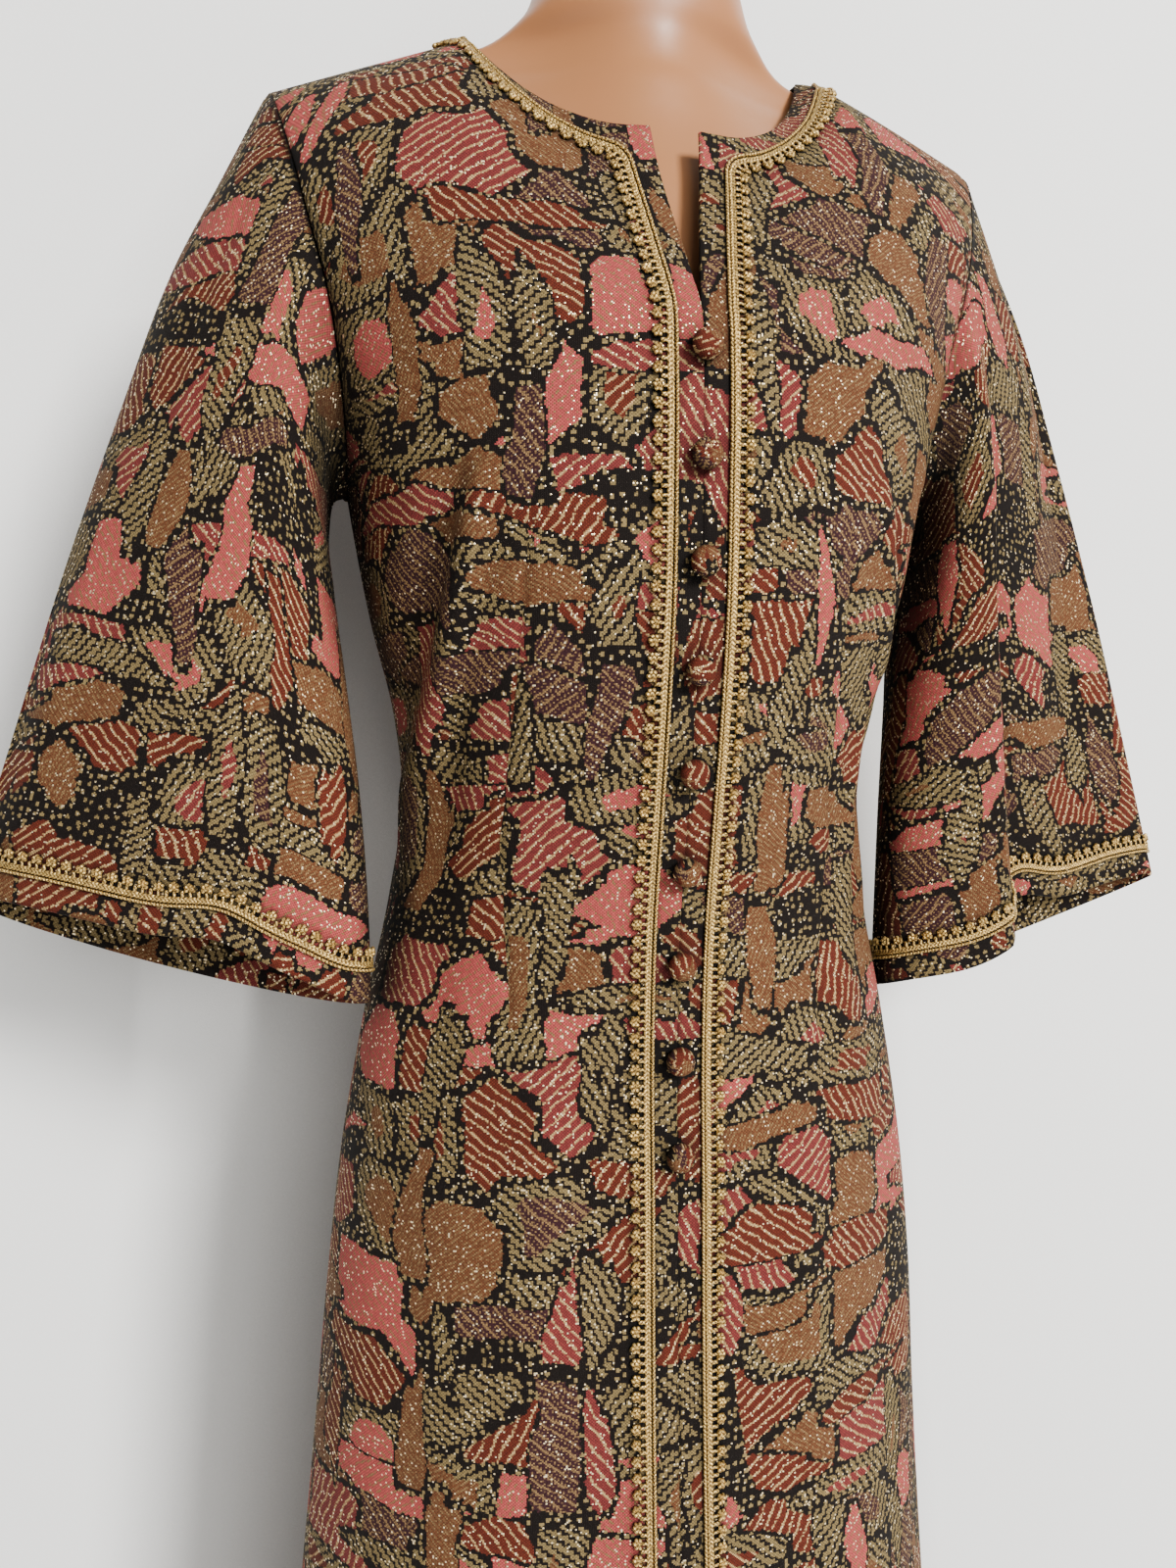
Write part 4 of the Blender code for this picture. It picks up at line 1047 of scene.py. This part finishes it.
def cloth_material(name, patch=0.047, gap=GAP, band=BAND, pinks=True):
    """Jacquard jersey: patches of yarn colours with slanting lines, on a dark ground with light flecks."""
    n = Nodes(name)
    uv = n.node("UVMap", uv_map="cloth").outputs[0]
    stitches = n.vector("DIVIDE", uv, STITCH)
    cell = n.vector("FLOOR", stitches)
    stitch = n.vector("MULTIPLY", n.vector("ADD", cell, (0.5, 0.5, 0.0)), STITCH)
    chance = n.node("TexWhiteNoise", {"Vector": cell}, noise_dimensions="2D")
    chance_value = chance.outputs["Value"]
    chance_a, chance_b, chance_c = n.channels(chance.outputs["Color"])

    # the patches' outlines wander, and step from stitch to stitch
    wander = n.vector("SUBTRACT", n.noise(stitch, 24.0, 1.0, "Color"), (0.5, 0.5, 0.5))
    bent = n.vector("ADD", stitch, n.scaled(wander, (0.013, 0.013, 0.0)))
    jag = n.vector("SUBTRACT", n.noise(stitch, 380.0, 0.0, "Color"), (0.5, 0.5, 0.5))
    bent = n.vector("ADD", bent, n.scaled(jag, (0.0030, 0.0030, 0.0)))

    def patches(width, height, randomness):
        scaled = n.vector("DIVIDE", bent, (width, height, 1.0))
        near, next_ = n.voronoi(scaled, randomness=randomness), n.voronoi(scaled, "F2", randomness=randomness)
        return n.math("SUBTRACT", next_.outputs["Distance"], near.outputs["Distance"]), near.outputs["Color"]

    border, colour = patches(patch, patch * 0.9, 0.85)
    # long narrow patches, lying and standing, over some of the others
    for width, height, share in ((patch * 1.45, patch * 0.44, 0.74), (patch * 0.42, patch * 1.35, 0.77)):
        other_border, other_colour = patches(width, height, 0.9)
        chosen = n.above(n.channels(other_colour)[0], share)
        again = n.math("FRACT", n.math("MULTIPLY", n.channels(other_colour)[0], 17.31))
        other_kind = n.node("CombineColor", {0: again, 1: n.channels(other_colour)[1], 2: n.channels(other_colour)[2]})
        colour = n.mix(chosen, colour, other_kind.outputs[0])
        border = n.blend(chosen, border, n.math("MULTIPLY", other_border, 0.72))
    ground = n.below(border, gap)
    kind, turn, tilt = n.channels(colour)

    # slanting lines, with a direction of their own in each patch
    x, y = n.node("SeparateXYZ", {0: stitch}).outputs[0:2]
    lean = n.math("ADD", 0.35, n.math("MULTIPLY", tilt, 1.3))
    side = n.math("SUBTRACT", n.math("MULTIPLY", n.above(turn, 0.42), 2.0), 1.0)
    length = n.math("SQRT", n.math("ADD", 1.0, n.math("MULTIPLY", lean, lean)))
    across = n.math("DIVIDE", n.math("ADD", n.both(x, side), n.both(y, lean)), length)
    beyond = n.math("DIVIDE", n.math("SUBTRACT", n.both(x, lean), n.both(y, side)), length)
    ripple = n.math("MULTIPLY", n.math("SUBTRACT", n.noise(stitch, 90.0, 0.0), 0.5), 0.0036)
    across = n.math("ADD", across, ripple)

    def lines(pitch, width, along=across):
        return n.below(n.math("FRACT", n.math("DIVIDE", along, pitch)), width)

    wide_lines = n.both(lines(0.0050, 0.25), n.above(chance_a, 0.10))
    fine_lines = lines(0.0021, 0.45)
    cross_lines = lines(0.0021, 0.45, beyond)
    tweed = n.both(fine_lines, n.above(chance_b, 0.30))
    speckle = n.both(lines(0.0036, 0.30), n.above(chance_a, 0.45))
    zigzag = n.math("ADD", across, n.math("MULTIPLY", n.math("PINGPONG", beyond, 0.0018), 0.8))
    strokes = lines(0.0044, 0.62, zigzag)
    check = n.both(fine_lines, cross_lines)

    # light flecks on the ground
    fleck_at = n.voronoi(n.vector("DIVIDE", stitch, (0.0048, 0.0048, 1.0)), distance="EUCLIDEAN", randomness=0.7)
    fleck = n.both(n.below(fleck_at.outputs["Distance"], 0.25), n.above(n.channels(fleck_at.outputs["Color"])[0], 0.15))
    dark = n.mix(fleck, YARN["ground"], YARN["beige"])

    fills = (
        (0.00, YARN["rust"], wide_lines, YARN["gold"]),
        (0.27, YARN["pink"], speckle, YARN["dull_gold"]),
        (0.47, YARN["tan"], tweed, YARN["dull_gold"]),
        (0.72, YARN["plum"], n.either(check, wide_lines), YARN["dull_gold"]),
        (0.83, YARN["rose"], wide_lines, YARN["gold"]),
        (0.95, dark, 0.0, YARN["ground"]),
    )
    if not pinks:
        fills = [fill for fill in fills if fill[1] not in (YARN["pink"], YARN["rose"])]
    face = None
    for start, base, mask, line in fills:
        filled = n.mix(mask, base, line)
        face = filled if face is None else n.mix(n.above(kind, start), face, filled)
    # a band of light strokes inside the edge of half the patches
    banded = n.both(n.below(border, band), n.above(n.math("FRACT", n.math("MULTIPLY", kind, 9.7)), 0.62))
    face = n.mix(banded, face, n.mix(strokes, YARN["ground"], YARN["beige"]))
    # every other stitch of a patch lies lower and darker
    sum_x, sum_y = n.node("SeparateXYZ", {0: cell}).outputs[0:2]
    odd = n.above(n.math("FRACT", n.math("MULTIPLY", n.math("ADD", sum_x, sum_y), 0.5)), 0.25)
    face = n.mix(n.math("MULTIPLY", odd, 0.46), face, YARN["ground"])
    colour = n.mix(ground, face, dark)

    # the yarn's own unevenness, and metal thread that shows in single stitches
    uneven = n.math("ADD", 0.80, n.math("MULTIPLY", chance_value, 0.40))
    broad = n.math("ADD", 0.90, n.math("MULTIPLY", n.noise(uv, 9.0, 2.0), 0.2))
    # painted shade: the colour is darkened in close hollows beside the braid, the buttons and the folds
    open_share = n.node("AmbientOcclusion", {"Distance": 0.03}, samples=4).outputs["AO"]
    painted_hollow_shade = n.math("POWER", open_share, 1.7)
    shade = n.both(n.both(uneven, broad), painted_hollow_shade)
    shaded = n.node("VectorMath", {0: colour, "Scale": shade}, operation="SCALE").outputs[0]
    brightness = n.node("RGBToBW", {0: colour}).outputs[0]
    often = n.math("SUBTRACT", 0.988, n.math("MULTIPLY", brightness, 0.30))
    glint = n.above(chance_c, often)
    n.put(n.shader.inputs["Base Color"], n.mix(glint, shaded, YARN["glint"]))
    n.put(n.shader.inputs["Metallic"], n.math("MULTIPLY", glint, 0.85))
    n.put(n.shader.inputs["Roughness"], n.blend(glint, 0.86, 0.30))

    # each stitch stands up as a small rounded loop
    inside = n.vector("SUBTRACT", n.vector("FRACTION", stitches), (0.5, 0.5, 0.5))
    ix, iy = n.node("SeparateXYZ", {0: inside}).outputs[0:2]
    fall = n.math("ADD", n.math("MULTIPLY", n.both(ix, ix), 2.6), n.math("MULTIPLY", n.both(iy, iy), 1.6))
    height = n.math("ADD", n.math("SUBTRACT", 1.0, fall), n.math("MULTIPLY", chance_value, 0.35))
    bump = n.node("Bump", {"Height": height, "Distance": 0.00022, "Strength": 0.75})
    n.put(n.shader.inputs["Normal"], bump.outputs[0])
    return n.finish(Specular_IOR_Level=0.14)


def braid_material():
    """Gold metal thread, twisted and plaited, with painted shade in the gaps between the threads, a painted highlight
    along each thread's crest, and small bright glints.
    """
    n = Nodes("gold_braid")
    uv = n.node("UVMap", uv_map="thread").outputs[0]
    x, y = n.node("SeparateXYZ", {0: uv}).outputs[0:2]
    position = n.node("TexCoord").outputs["Object"]
    wear = n.noise(position, 130.0, 3.0)
    fine = n.noise(position, 900.0, 1.5)
    slant = n.math("ADD", n.math("MULTIPLY", x, 950.0), n.math("MULTIPLY", y, 800.0))
    other = n.math("SUBTRACT", n.math("MULTIPLY", x, 950.0), n.math("MULTIPLY", y, 800.0))
    turned_over = n.above(n.math("FRACT", n.math("MULTIPLY", y, 310.0)), 0.5)
    plait = n.blend(turned_over, n.math("PINGPONG", slant, 1.0), n.math("PINGPONG", other, 1.0))
    tone = n.mix(wear, (0.33, 0.185, 0.040), (0.55, 0.345, 0.092))
    # painted highlight: the crest of each plaited thread is lightened in the colour
    tone = n.mix(n.math("MULTIPLY", n.math("POWER", plait, 2.0), 0.55), tone, (0.88, 0.67, 0.26))
    # painted shade: the gaps between the threads are darkened to a dark brown in the colour
    gap = n.math("MULTIPLY", n.below(n.math("ADD", n.math("MULTIPLY", plait, 0.6), fine), 0.735), 0.85)
    n.put(n.shader.inputs["Base Color"], n.mix(gap, tone, (0.095, 0.050, 0.014)))
    n.put(n.shader.inputs["Roughness"], n.blend(fine, 0.26, 0.50))
    n.put(n.shader.inputs["Metallic"], n.blend(wear, 0.45, 0.80))
    height = n.math("ADD", plait, n.math("MULTIPLY", fine, 1.4))
    bump = n.node("Bump", {"Height": height, "Distance": 0.00028, "Strength": 0.9})
    n.put(n.shader.inputs["Normal"], bump.outputs[0])
    return n.material


def skin_material():
    """Moulded plastic in a skin tone, semi-gloss, a little uneven."""
    n = Nodes("form_plastic")
    position = n.node("TexCoord").outputs["Object"]
    broad = n.noise(position, 7.0, 2.0)
    speck = n.noise(position, 260.0, 3.0)
    high = n.node("MapRange", {0: n.node("SeparateXYZ", {0: position}).outputs[2], 1: 1.44, 2: 1.53}).outputs[0]
    tone = n.mix(high, (0.315, 0.130, 0.050), (0.315, 0.120, 0.050))
    tone = n.mix(n.math("MULTIPLY", broad, 0.35), tone, (0.375, 0.170, 0.072))
    n.put(n.shader.inputs["Base Color"], tone)
    n.put(n.shader.inputs["Roughness"], n.blend(speck, 0.34, 0.46))
    bump = n.node("Bump", {"Height": n.noise(position, 900.0, 2.0), "Distance": 0.00004, "Strength": 0.5})
    n.put(n.shader.inputs["Normal"], bump.outputs[0])
    return n.finish(Specular_IOR_Level=0.36)


def stand_material():
    """Satin grey paint, with a faint grain, soft scuffs and a little dust on what faces up."""
    n = Nodes("stand_paint")
    position = n.node("TexCoord").outputs["Object"]
    scuff = n.noise(position, 45.0, 5.0)
    grain = n.noise(position, 1400.0, 2.0)
    up = n.node("SeparateXYZ", {0: n.node("NewGeometry").outputs["Normal"]}).outputs[2]
    dust = n.math("MULTIPLY", n.math("MULTIPLY", n.above(up, 0.5), scuff), 0.25)
    tone = n.mix(scuff, (0.330, 0.330, 0.335), (0.370, 0.370, 0.370))
    n.put(n.shader.inputs["Base Color"], n.mix(dust, tone, (0.50, 0.49, 0.47)))
    n.put(n.shader.inputs["Roughness"], n.math("ADD", 0.34, n.math("MULTIPLY", scuff, 0.18)))
    bump = n.node("Bump", {"Height": grain, "Distance": 0.00005, "Strength": 0.4})
    n.put(n.shader.inputs["Normal"], bump.outputs[0])
    return n.finish(Specular_IOR_Level=0.5)


def wall_material():
    """Pale matt paint, with a painted shadow where things stand close to it. It shows from the object's side alone, so
    that a view from behind isn't blocked.
    """
    n = Nodes("wall_paint")
    position = n.node("TexCoord").outputs["Object"]
    tone = n.mix(n.noise(position, 3.0, 2.0), (0.84, 0.84, 0.83), (0.87, 0.87, 0.86))
    # painted shadow: the wall and floor are darkened to a brownish shade where things stand close, as in the narrow
    # space between the garment and the wall
    near = n.node("AmbientOcclusion", {"Distance": 0.20}, samples=6).outputs["AO"]
    n.put(n.shader.inputs["Base Color"], n.mix(n.math("POWER", near, 1.6), (0.085, 0.066, 0.050), tone))
    bump = n.node("Bump", {"Height": n.noise(position, 420.0, 3.0), "Distance": 0.0004, "Strength": 0.25})
    n.put(n.shader.inputs["Normal"], bump.outputs[0])
    n.finish(Roughness=0.85)
    behind = n.node("NewGeometry").outputs["Backfacing"]
    shown = n.node("MixShader", {0: behind, 1: n.shader.outputs[0], 2: n.node("BsdfTransparent").outputs[0]})
    n.put(n.tree.nodes["Material Output"].inputs["Surface"], shown.outputs[0])
    return n.material


def covered_button(index, material):
    """A domed button under a gathered round of the cloth."""
    s = np.interp(BUTTON["top"] - index * BUTTON["pitch"], FRONT.rows["in_z"], FRONT.knots)
    normal = unit(FRONT.normal(0.0, s) * np.array([0.0, 1.0, 1.0]))
    seat = FRONT.at(0.0, s) + normal * (CLOTH / 2 + BUTTON["gap"] + BUTTON["dome"])
    rng = np.random.default_rng(40 + index)
    sides, rings = 40, 22
    phases = rng.uniform(0, 2 * math.pi, 3)
    points = []
    for i in range(rings + 1):
        polar = math.pi * i / rings
        for j in range(sides):
            angle = 2 * math.pi * j / sides
            low = max(0.0, -math.cos(polar))
            pleat = 1 + 0.035 * low * math.sin(11 * angle + phases[0])
            lump = 1 + 0.012 * math.sin(3 * angle + phases[1]) * math.sin(2 * polar + phases[2])
            fullness = 0.62 if polar < math.pi / 2 else 1.15
            wide = BUTTON["radius"] * math.sin(polar) ** fullness * pleat * lump
            points.append((wide * math.cos(angle), wide * math.sin(angle), BUTTON["dome"] * math.cos(polar)))
    faces = []
    for i in range(rings):
        for j in range(sides):
            k = (j + 1) % sides
            faces.append([i * sides + j, (i + 1) * sides + j, (i + 1) * sides + k, i * sides + k])
    points = np.array(points)
    turn = rng.uniform(0, 2 * math.pi)
    flat = np.stack([points[:, 0] * 1.25, points[:, 1] * 1.25 + points[:, 2] * 0.4], -1)
    spin = np.array([[math.cos(turn), -math.sin(turn)], [math.sin(turn), math.cos(turn)]])
    flat = flat @ spin.T + rng.uniform(-2, 2, 2)
    maps = flat[np.array(faces)]
    obj = mesh_object(f"covered_button_{index + 1}", points, faces, maps)
    weld(obj)
    place = Vector(normal).to_track_quat("Z", "Y").to_matrix().to_4x4()
    place.translation = Vector(seat)
    obj.data.transform(place)
    obj.data.materials.append(material)
    return obj


def weld(obj):
    import bmesh

    bm = bmesh.new()
    bm.from_mesh(obj.data)
    bmesh.ops.remove_doubles(bm, verts=bm.verts, dist=1e-6)
    bm.to_mesh(obj.data)
    bm.free()


def turned(name, profile, sides):
    """A closed turned shape from a profile of (radius, height), bottom to top."""
    angle = np.linspace(0, 2 * math.pi, sides, endpoint=False)
    points = [(r * math.cos(a), r * math.sin(a), z) for r, z in profile for a in angle]
    faces = []
    for i in range(len(profile) - 1):
        for j in range(sides):
            k = (j + 1) % sides
            faces.append([i * sides + j, i * sides + k, (i + 1) * sides + k, (i + 1) * sides + j])
    faces.append(list(range(sides))[::-1])
    faces.append([(len(profile) - 1) * sides + j for j in range(sides)])
    obj = mesh_object(name, np.array(points), faces)
    obj.data.set_sharp_from_angle(angle=math.radians(40))
    return obj


def dress_form(material):
    """The form's torso and neck, smooth between the part's rings."""
    heights = np.concatenate([np.linspace(a, b, 6)[:-1] for a, b in zip(FORM["height"], FORM["height"][1:])])
    heights = np.append(heights, FORM["height"][-1])
    sides = 96
    angle = np.linspace(0, 2 * math.pi, sides, endpoint=False)
    c, s = np.cos(angle), np.sin(angle)
    points = []
    for height in heights:
        row = {name: float(smooth(FORM["height"], values, height)) for name, values in FORM.items()}
        under = 0.0012 * float(np.clip((1.45 - height) / 0.02, 0, 1))
        x = (row["half_width"] - under) * c
        full = row["slim"] + (1 - row["slim"]) * np.exp(-((x / FORM_NECK) ** 2))
        y = (np.where(s < 0, row["front"], row["back"]) - under) * s * full
        points += [(px, py, height) for px, py in zip(x, y)]
    faces = []
    for i in range(len(heights) - 1):
        for j in range(sides):
            k = (j + 1) % sides
            faces.append([i * sides + j, i * sides + k, (i + 1) * sides + k, (i + 1) * sides + j])
    faces.append(list(range(sides))[::-1])
    faces.append([(len(heights) - 1) * sides + j for j in range(sides)])
    obj = mesh_object("form_shell", np.array(points), faces)
    obj.data.set_sharp_from_angle(angle=math.radians(60))
    obj.data.materials.append(material)
    return obj


CAMERA = {
    "at": (-0.1737, -0.6511, 1.1109),
    "right": (0.9749, -0.2225, 0.0070),
    "up": (0.0098, 0.0745, 0.9972),
    "forward": (0.2224, 0.9721, -0.0748),
    "lens": 26.75,
}


def camera():
    data = bpy.data.cameras.new("camera")
    data.sensor_fit, data.sensor_width, data.lens, data.clip_start = "AUTO", 36, CAMERA["lens"], 0.02
    obj = bpy.data.objects.new("camera", data)
    bpy.context.scene.collection.objects.link(obj)
    forward = Vector(CAMERA["forward"]).normalized()
    right = forward.cross(Vector(CAMERA["up"])).normalized()
    up = right.cross(forward)
    turn = Matrix((right, up, -forward)).transposed().to_4x4()
    turn.translation = Vector(CAMERA["at"])
    obj.matrix_world = turn
    bpy.context.scene.camera = obj


def light(name, at, towards, size, power, colour):
    data = bpy.data.lights.new(name, "AREA")
    data.shape, data.size, data.size_y, data.energy, data.color = "RECTANGLE", size[0], size[1], power, colour
    obj = bpy.data.objects.new(name, data)
    bpy.context.scene.collection.objects.link(obj)
    obj.location = at
    obj.rotation_euler = (Vector(towards) - Vector(at)).to_track_quat("-Z", "Y").to_euler()


WALL = 0.208  # how far behind the middle of the stand


def studio():
    """A pale wall and floor, a broad soft light from the front right, and a weak fill."""
    material = wall_material()
    for name, points in (
        ("wall", ((-3, WALL, -0.002), (3, WALL, -0.002), (3, WALL, 3.2), (-3, WALL, 3.2))),
        ("floor", ((-3, -3, -0.002), (3, -3, -0.002), (3, 3, -0.002), (-3, 3, -0.002))),
    ):
        obj = mesh_object(name, np.array(points, float), [[0, 1, 2, 3]])
        obj.data.materials.append(material)
    light("window", (1.9, -4.0, 3.2), (0, 0, 1.2), (1.2, 1.2), 530, (1.0, 0.985, 0.955))
    light("fill", (0.1, -3.6, 2.3), (-0.6, 0.2, 1.1), (1.4, 1.4), 60, (1.0, 0.99, 0.97))
    world = bpy.data.worlds.new("studio")
    bpy.context.scene.world = world
    world.use_nodes = True
    background = world.node_tree.nodes["Background"]
    background.inputs[0].default_value = (0.90, 0.92, 0.94, 1)
    background.inputs[1].default_value = 0.24


def dressed(obj, material, slot, *nodes):
    if not obj.data.materials:
        obj.data.materials.append(material)
    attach(obj, "root")
    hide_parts(*nodes)
    return obj


def main():
    jersey = cloth_material("jersey")
    gold = braid_material()
    flip = np.array([-1.0, 1.0, 1.0])
    fronts = {}
    for hand, own, mirror in (("left", LEFT_CREASES, False), ("right", RIGHT_CREASES, True)):
        creases = {name: np.concatenate([FRONT_CREASES[name], own[name]]) for name in own}
        cloth = body_half(FRONT, FRONT_COUNTS, DARTS["front"], creases)
        tree = outer_tree(cloth)
        fronts[hand] = cloth
        offset = (0.004, 0.0) if hand == "left" else (-0.004, 0.0)
        obj = shell(f"jersey_front_{hand}", cloth, offset, mirror=mirror)
        dressed(obj, jersey, "jersey", f"front_{hand}")
        trim = braid(f"gold_braid_{hand}", front_path(cloth, tree), tree, 1)
        if mirror:
            flipped(trim)
        dressed(trim, gold, "braid", f"braid_{hand}")
    halves = []
    for own in (None, BACK_RIGHT_CREASES):
        creases = BACK_CREASES
        if own:
            creases = {name: np.concatenate([BACK_CREASES[name], own[name]]) for name in own}
        halves.append(body_half(BACK, BACK_COUNTS, DARTS["back"], creases))
    back = whole_back(*halves)
    obj = shell("jersey_back", back, (3.0, 0.0))
    dressed(obj, jersey, "jersey", "back")
    tree = outer_tree(back)
    dressed(braid("gold_braid_neck", neck_path(back, tree), tree, 1), gold, "braid", "braid_neck_back")

    for hand, fold, creases, mirror in (
        ("left", LEFT_FOLD, LEFT_SLEEVE_FRONT, False),
        ("right", RIGHT_FOLD, RIGHT_SLEEVE_FRONT, True),
    ):
        cloth = sleeve_cloth(fold, creases)
        obj = shell(f"jersey_sleeve_{hand}", cloth, (5.0 if mirror else 7.0, 0.0), closed=True, mirror=mirror)
        dressed(obj, jersey, "jersey", f"sleeve_{hand}")
        tree = outer_tree(cloth, closed=True)
        trim = braid(f"gold_braid_sleeve_{hand}", sleeve_path(cloth, tree), tree, 1, closed=True)
        if mirror:
            flipped(trim)
        dressed(trim, gold, "braid", f"braid_sleeve_{hand}")

    button_cloth = cloth_material("button_jersey", patch=0.013, gap=0.0, band=0.0, pinks=False)
    for i in range(BUTTON["count"]):
        dressed(covered_button(i, button_cloth), button_cloth, "button_cloth", f"button_{i + 1}")

    dressed(dress_form(skin_material()), None, "form_skin", "dress_form")
    paint = stand_material()
    foot = turned("stand_foot", (
        (BASE_RADIUS - 0.001, 0.0), (BASE_RADIUS, 0.001), (BASE_RADIUS, BASE_HEIGHT - 0.006),
        (BASE_RADIUS - 0.0018, BASE_HEIGHT - 0.0018), (BASE_RADIUS - 0.006, BASE_HEIGHT), (0.001, BASE_HEIGHT),
    ), 128)
    dressed(foot, paint, "stand_metal", "stand_base")
    post = turned("stand_post", (
        (POLE_RADIUS - 0.0006, BASE_HEIGHT + PART_GAP), (POLE_RADIUS, BASE_HEIGHT + PART_GAP + 0.0006),
        (POLE_RADIUS, FORM["height"][0] - PART_GAP - 0.0006), (POLE_RADIUS - 0.0006, FORM["height"][0] - PART_GAP),
    ), 48)
    dressed(post, paint, "stand_metal", "stand_pole")

    camera()
    studio()


def flipped(obj):
    """The piece for the other side of the body."""
    obj.data.transform(Matrix.Diagonal((-1, 1, 1, 1)))
    obj.data.flip_normals()


main()
